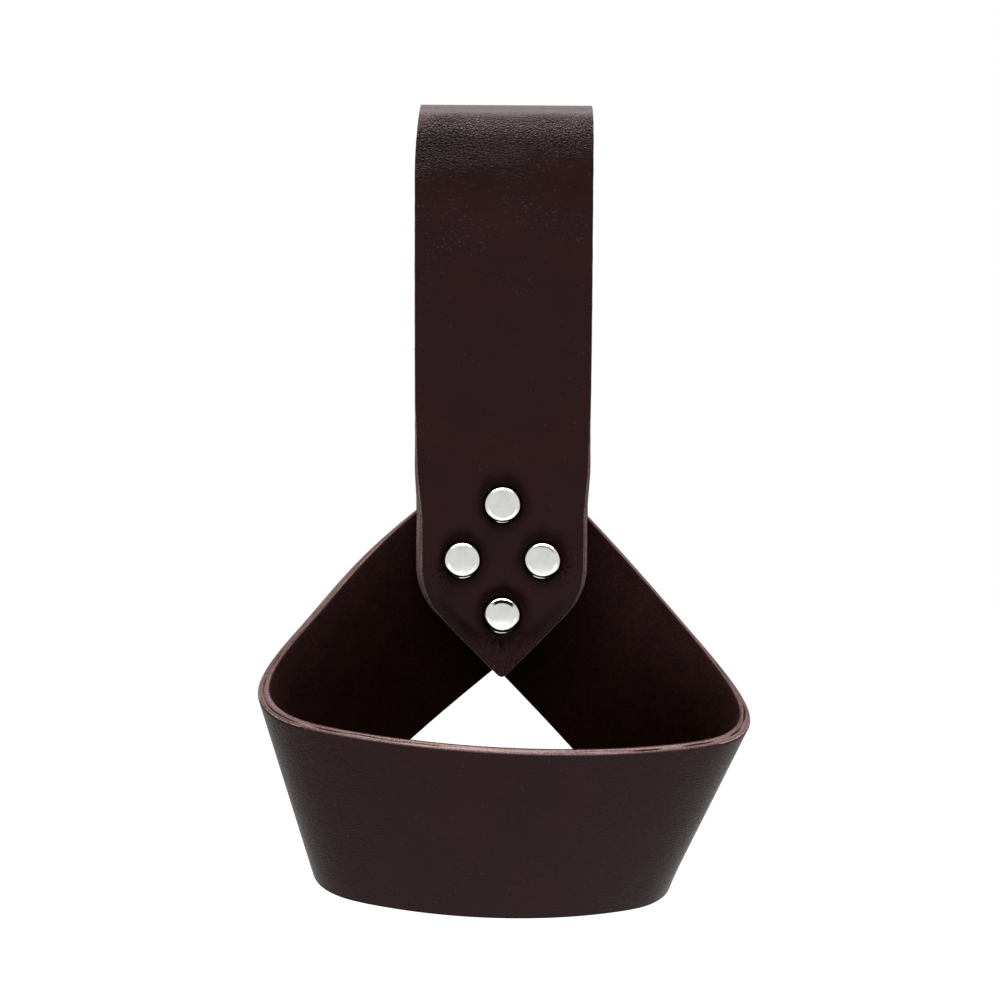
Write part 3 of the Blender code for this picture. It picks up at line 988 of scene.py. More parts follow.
    def ruled_distance(self, distance: Array, across: Array) -> Array:
        """Distance along the middle line of the straight line through each place.

        Args:
            distance: Distances along, from the middle of the front.
            across: Distances across.

        Returns:
            Where each place's straight line meets the middle line.
        """
        low = np.zeros_like(distance)
        high = np.full_like(distance, self.half_length)
        for _ in range(self.halvings):
            guess = (low + high) / 2
            past = guess + np.interp(guess, self.half_along, self.half_slope) * across > distance
            high = np.where(past, guess, high)
            low = np.where(past, low, guess)
        return (low + high) / 2

    def along_half(self, table: Array, at: Array) -> Array:
        """Vectors of one half of the ring at distances from the middle of its front."""
        return np.stack([np.interp(at, self.half_along, column) for column in table.T], -1)

    def middle(self, along: Array, across: Array) -> Array:
        """Middle surface of the ring and of its crossed ends.

        Args:
            along: Distances along, 0 at the middle of the front, - to the left.
            across: Distances across.

        Returns:
            Points in stack coordinates.
        """
        side = np.where(along > 0, 1, -1)
        distance = np.abs(along)
        at = self.ruled_distance(distance, across)
        ratio = np.interp(at, self.half_along, self.half_slope)
        centre = self.along_half(self.half_points, at)
        run = self.along_half(self.half_frames[:, 0], at)
        up = self.along_half(self.half_frames[:, 2], at)
        ring = centre + across[:, None] * (up + ratio[:, None] * run)
        ring[:, 0] *= side
        ring = ring @ self.tilt.T
        angle = self.crossing_angle + side * self.roll
        past = distance - self.half_length
        arc = side * (across * np.sin(angle) - past * np.cos(angle))
        height = self.crossing_rise + past * np.sin(angle) + across * np.cos(angle)
        weight = np.where(past > 0, 1, 1 - self.layer_end.at(np.abs(arc)))[:, None]
        left = self.stack.place(arc, height, -self.layer)
        right = self.stack.place(arc, height, self.layer)
        return ring + weight * (np.where((side > 0)[:, None], right, left) - ring)

    def swell(self, along: Array, across: Array) -> Array:
        """Pebbles stand up most where the strap is bent round the corners."""
        corner = np.exp(-(((np.abs(along) - self.corner_distance) / self.swell_length) ** 2))
        return (self.plain_swell + self.corner_swell * corner) * self.patches(along, across)

    def soaked(self, along: Array, across: Array) -> Array:
        """The flesh side is paler along the upper edge, most of all high up on the right, and darker lower
        down and towards the front on the right.
        """
        below = self.half_width - across
        high = self.pale_side.at(along) * np.exp(-below / self.pale_side_depth)
        corner = (along > 0) * (1 - self.dark_front_right_end.at(along))
        soak = 1 - np.exp(-below / self.pale_edge) - self.pale_side_share * high + self.dark_front_right_share * corner
        return np.clip(soak, 0, 1)

    def edge_stain(self, along: Array, across: Array) -> Array:
        """The upper edge is rubbed pale in front and stays darker round the corners."""
        front = np.exp(-((np.abs(along) / self.rubbed_length) ** 4))
        return 1 - front * ease(across / self.half_width)

    def groove(self, along: Array, across: Array) -> Array:
        """The upper edge has split along its middle, most of all near the corners."""
        corner = np.exp(-(((np.abs(along) - self.split_distance) / self.split_length) ** 2))
        patches = self.uneven(along, 0 * along, self.split_patch, Uneven.SPLIT_DEPTH)
        uneven = np.clip(self.split_middle + self.split_contrast * patches, *self.split_range)
        depth = self.split_depth * (self.split_share + (1 - self.split_share) * corner)
        return depth * self.split_edge.at(across) * uneven


@dataclass(frozen=True)
class NodeDesk:
    """Short ways to place and wire shader nodes in one tree."""

    tree: Tree

    def add(self, kind: str, **settings: object) -> Node:
        """Add a node.

        Args:
            kind: Type name of the node, without ShaderNode in front; a group's own ends have Node.
            settings: Properties of the node to set.

        Returns:
            The new node.
        """
        prefix = "Node" if kind in ("GroupInput", "GroupOutput") else "ShaderNode"
        node = self.tree.nodes.new(prefix + kind)
        for name, value in settings.items():
            setattr(node, name, value)
        return node

    def wire(self, value: object, socket: Socket) -> None:
        """Wire a socket, or set its plain value."""
        if isinstance(value, Socket):
            self.tree.links.new(value, socket)
        else:
            socket.default_value = value

    def feed(self, node: Node, **values: object) -> Node:
        """Set or wire a node's inputs by name, with _ for a space.

        Args:
            node: The node to feed.
            values: A socket to wire from, or a plain value, for each input.

        Returns:
            The same node.
        """
        for name, value in values.items():
            self.wire(value, node.inputs[name.replace("_", " ")])
        return node

    def math(self, operation: str, first: object, second: object = 0.0, third: object = 0.0) -> Socket:
        """Result of a math node on sockets or numbers."""
        node = self.add("Math", operation=operation)
        for socket, value in zip(node.inputs, (first, second, third)):
            self.wire(value, socket)
        return node.outputs[0]

    def times(self, *values: object) -> Socket:
        """Product of sockets and numbers."""
        product = values[0]
        for value in values[1:]:
            product = self.math("MULTIPLY", product, value)
        return product

    def plus(self, total: object, value: object, share: object) -> Socket:
        """A total with a share of a value added."""
        return self.math("MULTIPLY_ADD", value, share, total)

    def apart(self, first: object, second: object) -> Socket:
        """How far two numbers are apart."""
        return self.math("ABSOLUTE", self.math("SUBTRACT", first, second))

    def length(self, across: object, up: object) -> Socket:
        """Length of a flat vector, from its two parts."""
        return self.math("SQRT", self.plus(self.times(up, up), across, share=across))

    def vector(self, operation: str, first: object, second: object) -> Socket:
        """Vector result of a vector math node."""
        node = self.add("VectorMath", operation=operation)
        self.wire(first, node.inputs[0])
        self.wire(second, node.inputs["Scale" if operation == "SCALE" else 1])
        return node.outputs["Vector"]

    def scaled(self, place: object, size: object) -> Socket:
        """A place measured in steps of a size."""
        return self.vector("SCALE", place, self.math("DIVIDE", 1.0, size))

    def parts(self, vector: object) -> Sockets:
        """The X, Y and Z of a vector."""
        return self.feed(self.add("SeparateXYZ"), Vector=vector).outputs

    def rise(self, value: object, low: float, high: float, start: float = 0.0, end: float = 1.0) -> Socket:
        """Smooth change from start to end while a value goes from low to high."""
        node = self.add("MapRange", interpolation_type="SMOOTHSTEP")
        self.feed(node, Value=value, From_Min=low, From_Max=high, To_Min=start, To_Max=end)
        return node.outputs["Result"]

    def fall(self, value: object, low: float, high: float, start: float = 1.0) -> Socket:
        """Smooth change from start to 0 while a value goes from low to high."""
        return self.rise(value, low, high, start, end=0.0)

    def mix(self, share: object, first: object, second: object, blend: str = "MIX") -> Socket:
        """Mix of two colours."""
        node = self.add("Mix", data_type="RGBA", blend_type=blend)
        self.wire(share, node.inputs[0])
        for value, socket in ((first, node.inputs[6]), (second, node.inputs[7])):
            self.wire((*value, 1.0) if isinstance(value, tuple) else value, socket)
        return node.outputs[2]

    def noise(
        self, place: object, scale: float, detail: float = 3.0, roughness: float = 0.5, output: str = "Fac"
    ) -> Socket:
        """Noise at a place, as a number or a colour."""
        node = self.add("TexNoise")
        self.feed(node, Vector=place, Scale=scale, Detail=detail, Roughness=roughness)
        return node.outputs[output]

    def cells(self, place: object, scale: float, feature: str = "DISTANCE_TO_EDGE") -> Sockets:
        """Outputs of a cell texture at a place."""
        return self.feed(self.add("TexVoronoi", feature=feature), Vector=place, Scale=scale).outputs

    def mark(self, mark: Mark) -> Socket:
        """Number or vector that a mark gives."""
        outputs = self.add("Attribute", attribute_name=mark.value).outputs
        return outputs["Vector" if mark in (Mark.PLACE, Mark.FAN) else "Fac"]

    def bump(self, relief: object) -> Socket:
        """Normal that a relief in metres gives."""
        return self.feed(self.add("Bump"), Strength=1.0, Distance=1.0, Height=relief).outputs["Normal"]

    def group(self, tree: Tree, **values: object) -> Sockets:
        """Outputs of a node group that is placed and fed by name."""
        return self.feed(self.add("Group", node_tree=tree), **values).outputs

    def give(self, **values: object) -> Tree:
        """Feed the outputs of the group on this desk, and return the group."""
        self.feed(self.add("GroupOutput"), **values)
        return self.tree

    def seen(self) -> Socket:
        """1 for what the eye, a reflection or a clear piece shows, and 0 for other light."""
        path = self.add("LightPath").outputs
        seen = self.math("MAXIMUM", path["Is Camera Ray"], path["Is Glossy Ray"])
        return self.math("MAXIMUM", seen, path["Is Transmission Ray"])

    def join(self, kind: str, output: str, *values: object) -> None:
        """Join shaders in one node and wire it to the surface of an output."""
        joined = self.add(kind)
        for value, socket in zip(values, joined.inputs):
            self.wire(value, socket)
        self.wire(joined.outputs[0], self.tree.nodes[output].inputs["Surface"])


def group_desk(name: str, vectors: str, numbers: str, results: str) -> tuple[NodeDesk, list[Socket]]:
    """Start a shader node group with named inputs and outputs.

    Args:
        name: Name of the group.
        vectors: Names of its vector inputs, with a space between.
        numbers: Names of its number inputs.
        results: Names of its outputs, all numbers.

    Returns:
        A desk to fill the group with, and what its inputs are given, vectors first.
    """
    group = bpy.data.node_groups.new(name, "ShaderNodeTree")
    sockets = (("INPUT", "Vector", vectors), ("INPUT", "Float", numbers), ("OUTPUT", "Float", results))
    for in_out, kind, labels in sockets:
        for label in labels.split():
            group.interface.new_socket(name=label, in_out=in_out, socket_type=f"NodeSocket{kind}")
    desk = NodeDesk(group)
    given = desk.add("GroupInput").outputs
    return desk, [given[label] for label in f"{vectors} {numbers}".split()]


def fresh_material(name: str) -> tuple[bpy.types.Material, NodeDesk, Node]:
    """New material, with a desk for its nodes and its shader."""
    material = bpy.data.materials.new(name)
    material.use_nodes = True
    return material, NodeDesk(material.node_tree), material.node_tree.nodes["Principled BSDF"]


class SharedEffects:
    """Shader node groups that several finishes place with their own values."""

    def __init__(self) -> None:
        """Make every group once."""
        self.grain = self.make_grain()
        self.cut_edge = self.make_cut_edge()
        self.fans = self.make_fans()
        self.nap = self.make_nap()
        self.tone = self.make_tone()
        self.scuffs = self.make_scuffs()
        self.residue = self.make_painted_reflection()

    @staticmethod
    def make_grain() -> Tree:
        """Pebbled leather grain: low cells between fine creases, with pores, spots for painted glints and
        dashes for painted highlights and shade.
        """
        names = ("Place Stretch", "Cell Sparse", "Height Crease Fleck Dash")
        desk, (place, stretch, cell, sparse) = group_desk("pebbled_grain", *names)
        scaled = desk.scaled(desk.vector("MULTIPLY", place, stretch), cell)
        warp = desk.noise(scaled, 0.60, detail=2.0, output="Color")
        shift = desk.vector("SCALE", desk.vector("SUBTRACT", warp, (0.5, 0.5, 0.5)), 1.3)
        pushed = desk.vector("ADD", scaled, shift)
        from_edge = desk.cells(pushed, 1.0)["Distance"]
        from_fine_edge = desk.cells(pushed, 2.1)["Distance"]
        fine = desk.rise(from_fine_edge, 0.0, 0.30)
        soft = desk.noise(scaled, 0.8, detail=4.0, roughness=0.6)
        height = desk.plus(desk.plus(desk.rise(from_edge, 0.0, 0.40), fine, share=0.22), soft, share=0.8)
        spots = desk.cells(scaled, 0.50, feature="F1")
        red = desk.feed(desk.add("SeparateColor"), Color=spots["Color"]).outputs[0]
        fleck = desk.times(desk.fall(spots["Distance"], 0.03, 0.13), desk.math("GREATER_THAN", red, 0.66))
        over = desk.math("SUBTRACT", desk.noise(scaled, 0.90, detail=1.0), sparse)
        dash = desk.times(desk.fall(from_fine_edge, 0.0, 0.12), desk.rise(over, 0.0, 0.06))
        return desk.give(Height=height, Crease=desk.fall(from_edge, 0.0, 0.20), Fleck=fleck, Dash=dash)

    @staticmethod
    def make_cut_edge() -> Tree:
        """Raw cut edge of leather: fibres along the cut, and where the edge begins."""
        desk, (place, turn, fibre) = group_desk("raw_cut_edge", "Place", "Turn Fibre", "Edge Tone Height")
        scaled = desk.scaled(place, fibre)
        drawn = desk.scaled(desk.vector("MULTIPLY", place, (0.28, 0.28, 1.0)), fibre)
        layered = desk.vector("MULTIPLY", scaled, (0.02, 0.02, 0.55))
        fibres = desk.noise(drawn, 1.0, detail=5.0, roughness=0.65)
        plies = desk.noise(layered, 1.0, detail=2.0)
        speck = desk.noise(scaled, 1.1, roughness=0.75)
        worn = desk.plus(turn, desk.noise(scaled, 0.45, roughness=0.6), share=0.20)
        tone = desk.plus(desk.plus(desk.times(fibres, 0.20), plies, share=0.35), speck, share=0.85)
        return desk.give(Edge=desk.rise(worn, 0.80, 1.02), Tone=tone, Height=fibres)

    @staticmethod
    def make_fans() -> Tree:
        """Fine creases that fan out from a pressed-in fastener."""
        desk, (fan, spacing, length) = group_desk("crease_fan", "Fan", "Spacing Length", "Crease")
        parts = desk.parts(fan)
        turned = desk.math("DIVIDE", parts["X"], spacing)
        outward = desk.math("DIVIDE", parts["Y"], length)
        place = desk.feed(desk.add("CombineXYZ"), X=turned, Y=outward).outputs["Vector"]
        crease = desk.fall(desk.apart(desk.noise(place, 0.8, detail=2.0), 0.5), 0.0, 0.075)
        return desk.give(Crease=desk.times(crease, parts["Z"]))

    @staticmethod
    def make_nap() -> Tree:
        """Matted fibres of leather's rough side."""
        desk, (place, size) = group_desk("matted_nap", "Place", "Size", "Tone Height")
        scaled = desk.scaled(place, size)
        shift = desk.vector("SCALE", desk.noise(scaled, 0.35, detail=2.0, output="Color"), 2.4)
        matted = desk.vector("MULTIPLY", desk.vector("ADD", scaled, shift), (3.0, 0.6, 1.0))
        fibres = desk.noise(matted, 1.0, detail=4.0, roughness=0.65)
        broad = desk.times(desk.noise(scaled, 0.12, detail=2.0), 0.18)
        return desk.give(Tone=desk.rise(desk.plus(broad, fibres, share=0.82), 0.38, 0.62), Height=fibres)

    @staticmethod
    def make_painted_reflection() -> Tree:
        """Painted dark reflection round a cap's rim, widest below, left out along one short line below so
        that the bright metal shows there as a painted reflection line, and a painted dark arc above.
        """
        desk, (place, half_width) = group_desk("cap_painted_reflection", "Place", "Arc", "Residue")
        parts, ragged = desk.parts(place), 0.00024
        across, up = parts["X"], parts["Y"]
        uneven = desk.noise(desk.vector("SCALE", place, 700.0), 1.0, detail=1.0)
        reach = desk.plus(desk.length(across, up), uneven, share=ragged)
        drawn = desk.length(desk.times(across, 0.930), desk.math("SUBTRACT", up, 0.00046))
        dark_reflection = desk.rise(desk.plus(drawn, uneven, share=ragged), 0.00472, 0.00490)
        heading = desk.math("DIVIDE", up, reach)
        # Short line below where the painted dark reflection is left out, so the bright metal shows as a
        # reflection line.
        line = desk.fall(desk.apart(reach, 0.00486), 0.00004, 0.00014)
        line = desk.times(line, desk.fall(heading, -0.96, -0.90, start=0.85))
        dark_reflection = desk.times(dark_reflection, desk.math("SUBTRACT", 1.0, line))
        # Painted dark arc of reflection on the upper shoulder, as wide as the Arc input.
        beside = desk.math("SUBTRACT", desk.apart(reach, 0.00440), half_width)
        arc = desk.times(desk.fall(beside, -0.00006, 0.00004), desk.rise(heading, 0.66, 0.82))
        return desk.give(Residue=desk.math("MAXIMUM", dark_reflection, arc))

    @staticmethod
    def make_tone() -> Tree:
        """Slow change of tone over a hide."""
        desk, (place, patch) = group_desk("hide_tone", "Place", "Patch", "Tone")
        scaled = desk.scaled(place, patch)
        broad = desk.times(desk.noise(scaled, 1.0, detail=2.0), 0.65)
        fine = desk.noise(scaled, 14.0, roughness=0.6)
        return desk.give(Tone=desk.rise(desk.plus(broad, fine, share=0.35), 0.33, 0.67))

    @staticmethod
    def make_scuffs() -> Tree:
        """Hairline scuffs and dull patches of handled metal."""
        desk, (place, size) = group_desk("metal_scuffs", "Place", "Size", "Haze Height")
        scaled = desk.scaled(place, size)
        haze = desk.noise(scaled, 0.6, detail=4.0, roughness=0.6)
        lines = desk.noise(desk.vector("MULTIPLY", scaled, (9.0, 0.6, 1.0)), 1.0, roughness=0.6)
        return desk.give(Haze=desk.rise(haze, 0.35, 0.75), Height=lines)


@dataclass(frozen=True)
class LeatherFinish:
    """Grain side of dark brown bridle leather, with its raw cut edges."""

    name: str
    effects: SharedEffects
    cell: float
    stretch: tuple[float, float, float]
    dash_strength: float
    shade: Colour = (0.0116, 0.0023, 0.0028)
    light: Colour = (0.0160, 0.0033, 0.0039)
    # Colour of the painted shade in the grain's valleys and in the creases round the rivets.
    crease: Colour = (0.0070, 0.0010, 0.0012)
    # Darker colour of the burnished halos, also laid on as painted shade above each rivet and below the
    # fold.
    pressed: Colour = (0.0088, 0.0021, 0.0010)
    # Colour of the painted contact shadow round each cap's foot.
    painted_contact_shadow: Colour = (0.0026, 0.0008, 0.0006)
    # Colour of the painted light at the flap's tip.
    painted_tip_light: Colour = (0.0250, 0.0074, 0.0083)
    # Colour of painted glints: sparse light spots in place of specular glints on the grain.
    fleck: Colour = (0.0900, 0.0560, 0.0560)
    # Dark by default, as painted shade in fine wrinkles; the belt loop gives a pale one, as painted
    # highlight on wrinkle rims.
    dash: Colour = (0.0040, 0.0007, 0.0008)
    edge_dark: Colour = (0.0300, 0.0140, 0.0135)
    edge_light: Colour = (0.2500, 0.1740, 0.1650)
    # Colour of the painted shade in the split along the cut edge.
    fissure: Colour = (0.0110, 0.0038, 0.0034)
    roughness: float = 0.29
    crease_roughness: float = 0.10
    tone_roughness: float = 0.05
    edge_roughness: float = 0.92
    specular: float = 0.094
    pressed_specular: float = 0.022
    patch: float = 0.020
    fibre: float = 0.00040
    fan_spacing: float = 0.12
    fan_length: float = 0.005
    grain_depth: float = 0.00037
    crease_depth: float = 0.00008
    edge_depth: float = 0.00022
    crease_strength: float = 0.75
    burnish_and_shade_strength: float = 0.90
    burnish_and_shade_range: tuple[float, float] = (0.0, 0.75)
    contact_shadow_range: tuple[float, float] = (0.76, 0.92)
    oiled_range: tuple[float, float] = (0.0, 0.90)
    oiled_creases: float = 0.90
    oiled_valleys: float = 0.75
    raw_range: tuple[float, float] = (0.56, 0.84)
    split_shade_range: tuple[float, float] = (0.16, 0.44)
    stain_strength: float = 0.62
    glint_strength: float = 0.60
    dash_height: float = 0.00010
    dash_sparse: float = 0.52
    dash_range: tuple[float, float] = (0.04, 0.14)

    def material(self) -> bpy.types.Material:
        """Make the leather's material.

        Returns:
            A material that reads the strap's own marks.
        """
        material, desk, shader = fresh_material(self.name)
        place, pressed, swell = (desk.mark(mark) for mark in (Mark.PLACE, Mark.PRESSED, Mark.SWELL))
        grain = desk.group(
            self.effects.grain, Place=place, Cell=self.cell, Stretch=self.stretch, Sparse=self.dash_sparse
        )
        edge = desk.group(self.effects.cut_edge, Place=place, Turn=desk.mark(Mark.EDGE), Fibre=self.fibre)
        tone = desk.group(self.effects.tone, Place=place, Patch=self.patch)["Tone"]
        fans = desk.group(
            self.effects.fans, Fan=desk.mark(Mark.FAN), Spacing=self.fan_spacing, Length=self.fan_length
        )
        # Painted shade in the grain's valleys, strongest where the pebbles stand up.
        creases, shaded_valley = fans["Crease"], desk.times(grain["Crease"], swell, self.crease_strength)
        dashes = desk.times(grain["Dash"], desk.rise(swell, *self.dash_range))
        # Colours over the hide's tone: painted light at the flap's tip, painted shade in grain valleys,
        # painted highlights on the loop's dashes and painted shade on the ring's, burnish with painted
        # shade, painted shade in fan creases, painted glints and a painted contact shadow.
        stains_and_painted_light = (
            (desk.fall(pressed, -1.0, 0.0), self.painted_tip_light),
            (shaded_valley, self.crease),
            (desk.times(dashes, self.dash_strength), self.dash),
            (desk.rise(pressed, *self.burnish_and_shade_range, end=self.burnish_and_shade_strength), self.pressed),
            (desk.times(creases, self.crease_strength), self.crease),
            (desk.times(grain["Fleck"], self.glint_strength), self.fleck),
            (desk.rise(pressed, *self.contact_shadow_range), self.painted_contact_shadow),
        )
        face = desk.mix(tone, self.shade, self.light)
        for share, colour in stains_and_painted_light:
            face = desk.mix(share, face, colour)
        raw = desk.mix(desk.rise(edge["Tone"], *self.raw_range), self.edge_dark, self.edge_light)
        raw = desk.mix(desk.times(pressed, self.stain_strength), raw, self.edge_dark)
        # Painted shade in the split along the cut edge.
        raw = desk.mix(desk.rise(desk.mark(Mark.FISSURE), *self.split_shade_range), raw, self.fissure)
        rough = desk.plus(self.roughness, grain["Crease"], share=self.crease_roughness)
        rough = desk.plus(rough, tone, share=self.tone_roughness)
        rougher = desk.math("SUBTRACT", self.edge_roughness, rough)
        bare = desk.math("SUBTRACT", 1.0, edge["Edge"])
        oiled = desk.rise(pressed, *self.oiled_range)
        for groove, strength in ((creases, self.oiled_creases), (shaded_valley, self.oiled_valleys)):
            oiled = desk.math("MAXIMUM", oiled, desk.times(groove, strength))
        oiled = desk.times(oiled, bare)
        loss = self.pressed_specular - self.specular
        relief = desk.times(grain["Height"], desk.times(bare, swell), self.grain_depth)
        relief = desk.plus(relief, dashes, share=self.dash_height)
        relief = desk.plus(relief, creases, share=-self.crease_depth)
        relief = desk.plus(relief, desk.times(edge["Height"], edge["Edge"]), share=self.edge_depth)
        shader.inputs["Specular IOR Level"].default_value = self.specular
        desk.feed(
            shader, Base_Color=desk.mix(edge["Edge"], face, raw), Normal=desk.bump(relief),
            Roughness=desk.plus(rough, edge["Edge"], share=rougher),
            Specular_IOR_Level=desk.plus(self.specular, oiled, share=loss),
        )
        return material


@dataclass(frozen=True)
class FleshFinish:
    """Rough inner side of the leather: short matted fibres, darkened where oil has soaked in."""

    name: str
    effects: SharedEffects
    dark: Colour = (0.0066, 0.0022, 0.0021)
    pale: Colour = (0.0215, 0.0070, 0.0068)
    soak: Colour = (0.38, 0.36, 0.22)
    rim: Colour = (0.0300, 0.0140, 0.0135)
    roughness: float = 0.80
    nap_roughness: float = 0.06
    specular: float = 0.043
    soaked_specular: float = 0.010
    fibre: float = 0.00028
    nap_size: float = 0.0007
    nap_depth: float = 0.00022

    def material(self) -> bpy.types.Material:
        """Make the rough side's material.

        Returns:
            A material that reads the strap's own marks.
        """
        material, desk, shader = fresh_material(self.name)
        place, turn, soaked = (desk.mark(mark) for mark in (Mark.PLACE, Mark.EDGE, Mark.PRESSED))
        nap = desk.group(self.effects.nap, Place=place, Size=self.nap_size)
        edge = desk.group(self.effects.cut_edge, Place=place, Turn=turn, Fibre=self.fibre)["Edge"]
        face = desk.mix(soaked, desk.mix(nap["Tone"], self.dark, self.pale), self.soak, "MULTIPLY")
        loss = self.soaked_specular - self.specular
        shader.inputs["Specular IOR Level"].default_value = self.specular
        desk.feed(
            shader, Base_Color=desk.mix(edge, face, self.rim),
            Roughness=desk.plus(self.roughness, nap["Tone"], share=self.nap_roughness),
            Specular_IOR_Level=desk.plus(self.specular, soaked, share=loss),
            Normal=desk.bump(desk.times(nap["Height"], self.nap_depth)),
        )
        return material


@dataclass(frozen=True)
class MetalFinish:
    """Plated metal with a faint haze and hairline scuffs."""

    name: str
    effects: SharedEffects
    bright: Colour = (0.66, 0.66, 0.65)
    dull: Colour = (0.56, 0.56, 0.55)
    roughness: float = 0.10
    haze: float = 0.10
    scuff_size: float = 0.0020
    scuff_depth: float = 0.000002
    # Painted reflection on the cap's rim: its dark colour, how strongly it is laid on, and the half width
    # of a painted dark arc above it, negative for none.
    residue: Colour = (0.012, 0.009, 0.008)
    painted_reflection_share: float = 0.0
    arc: float = -1.0

    def material(self) -> bpy.types.Material:
        """Make the metal's material.

        Returns:
            A material in the piece's own coordinates.
        """
        material, desk, shader = fresh_material(self.name)
        place = desk.add("TexCoord").outputs["Object"]
        scuffs = desk.group(self.effects.scuffs, Place=place, Size=self.scuff_size)
        metal = desk.mix(scuffs["Haze"], self.bright, self.dull)
        # Painted reflection: a dark ring round the rim, a bright line below and a dark arc above.
        if self.painted_reflection_share:
            dark_reflection = desk.group(self.effects.residue, Place=place, Arc=self.arc)["Residue"]
            metal = desk.mix(desk.times(dark_reflection, self.painted_reflection_share), metal, self.residue)
        desk.feed(
            shader, Base_Color=metal, Metallic=1.0,
            Roughness=desk.plus(self.roughness, scuffs["Haze"], share=self.haze),
            Normal=desk.bump(desk.times(scuffs["Height"], self.scuff_depth)),
        )
        return material


@dataclass
class Rivets:
    """The caps of the four double-cap rivets, and the pieces that they hide."""

    cap_finishes: dict[str, MetalFinish]
    inner_finish: MetalFinish
    stack: RivetedStack = RivetedStack()
    radius: float = 0.0054
    height: float = 0.0026
    wall: float = 0.0004
    seat: float = 0.00048
    lip: float = 0.0011
    crown: float = 0.00010
    shoulder_width: float = 0.00200
    shoulder_height: float = 0.00165
    face_shares: tuple[float, ...] = (0.0, 0.3, 0.6, 0.85, 1.0)
    foot_shares: tuple[tuple[float, float], ...] = ((0.0, 0.5), (0.15, 0.15), (0.5, 0.0))
    shoulder_steps: int = 12
    segments: int = 112
    turns: tuple[float, ...] = (0.0, radians(8), radians(-12), radians(-6))

    def profile(self) -> list[tuple[float, float]]:
        """Section of a cap: nearly flat face, round shoulder, upright side and rolled-in rim."""
        face, brow = self.radius - self.shoulder_width, self.height - self.crown
        outer = [(share * face, self.height - self.crown * share * share) for share in self.face_shares]
        for step in range(1, self.shoulder_steps + 1):
            turn = pi / 2 * step / self.shoulder_steps
            fallen = self.shoulder_height * (1 - cos(turn))
            outer.append((face + self.shoulder_width * sin(turn), brow - fallen))
        wall, seat, rim = self.wall, self.seat, self.radius - self.lip
        foot = [(self.radius - inward * wall, seat + up * wall) for inward, up in self.foot_shares]
        inner = [(rim, seat), (rim, seat + wall), (self.radius - wall, seat + wall)]
        roof = [
            (max(reach - wall, 0.0), level - wall)
            for reach, level in reversed(outer)
            if level - wall > seat + 1.1 * wall
        ]
        roof = [spot for index, spot in enumerate(roof) if spot[0] > 0 or index == len(roof) - 1]
        return outer + foot + inner + roof

    def turned(self, name: str) -> bpy.types.Mesh:
        """Turn the section of a cap into a mesh.

        Args:
            name: Name of the mesh.

        Returns:
            The smooth closed shell of a cap.
        """
        work = bmesh.new()
        angles = np.linspace(0, 2 * pi, self.segments, endpoint=False)
        rings = []
        for radius, height in self.profile():
            around = angles if radius > 0 else angles[:1]
            spots = [(radius * cos(turn), radius * sin(turn), height) for turn in around]
            rings.append([work.verts.new(spot) for spot in spots])
        for upper, lower in zip(rings, rings[1:]):
            for index in range(self.segments):
                after = (index + 1) % self.segments
                sides = ((upper, index), (lower, index), (lower, after), (upper, after))
                corners = [ring[spot % len(ring)] for ring, spot in sides]
                work.faces.new(list(dict.fromkeys(corners)))
        bmesh.ops.recalc_face_normals(work, faces=work.faces)
        mesh = bpy.data.meshes.new(name)
        work.to_mesh(mesh)
        work.free()
        mesh.shade_smooth()
        return mesh

    def cap(self, place: str, leaf: Leaf, turn: float, plating: bpy.types.Material) -> bpy.types.Object:
        """Turn one cap and seat it.

        Args:
            place: Which rivet of the diamond.
            leaf: Which face of the stack.
            turn: Angle by which the cap is turned on its rivet.
            plating: The cap's material.

        Returns:
            The finished cap.
        """
        name = f"rivet_{place}_{leaf.name.lower()}_cap"
        piece = placed(f"{name}_turned", self.turned(f"{name}_turned"))
        placing = self.stack.cap_placing(*self.stack.rivets[place], leaf)
        piece.matrix_world = placing @ Matrix.Rotation(turn, 4, "Z")
        piece.data.materials.append(plating)
        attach(piece, ROOT_BODY)
        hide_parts(name)
        log.info("%s: %d faces", piece.name, len(piece.data.polygons))
        return piece

    def build(self, nodes: dict[str, bpy.types.Object]) -> None:
        """Make all caps and dress the hidden sockets and posts.

        Args:
            nodes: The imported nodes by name.
        """
        platings = {name: finish.material() for name, finish in self.cap_finishes.items()}
        for place, turn in zip(self.stack.rivets, self.turns):
            for leaf in Leaf:
                self.cap(place, leaf, turn, platings.get(place, platings["plain"]))
        inner = self.inner_finish.material()
        for name, node in nodes.items():
            if name.endswith(("_socket", "_post")):
                node.data.materials.clear()
                node.data.materials.append(inner)
                log.info("%s: dressed", name)


@dataclass
class Camera:
    """The photograph's camera, set by its aim, distance and tilt."""

    aim: Place = (-0.000655, -0.001, -0.10961)
    distance: float = 0.47250
    elevation: float = radians(2.966)
    azimuth: float = radians(-0.508)
    roll: float = radians(0.266)
    lens: float = 58.719
    sensor: float = 36.0
    nearest: float = 0.01

    def build(self) -> bpy.types.Object:
        """Make the camera and make it the scene's own.

        Returns:
            The camera.
        """
        level = cos(self.elevation)
        back = Vector((sin(self.azimuth) * level, -cos(self.azimuth) * level, sin(self.elevation)))
        right = (-back).cross(Vector((0, 0, 1))).normalized()
        turn = Matrix((right, right.cross(-back), back)).transposed() @ Matrix.Rotation(self.roll, 3, "Z")
        data = bpy.data.cameras.new("photo_camera")
        data.sensor_width = self.sensor
        data.lens = self.lens
        data.clip_start = self.nearest
        camera = placed("photo_camera", data)
        camera.matrix_world = Matrix.Translation(Vector(self.aim) + back * self.distance) @ turn.to_4x4()
        bpy.context.scene.camera = camera
        return camera


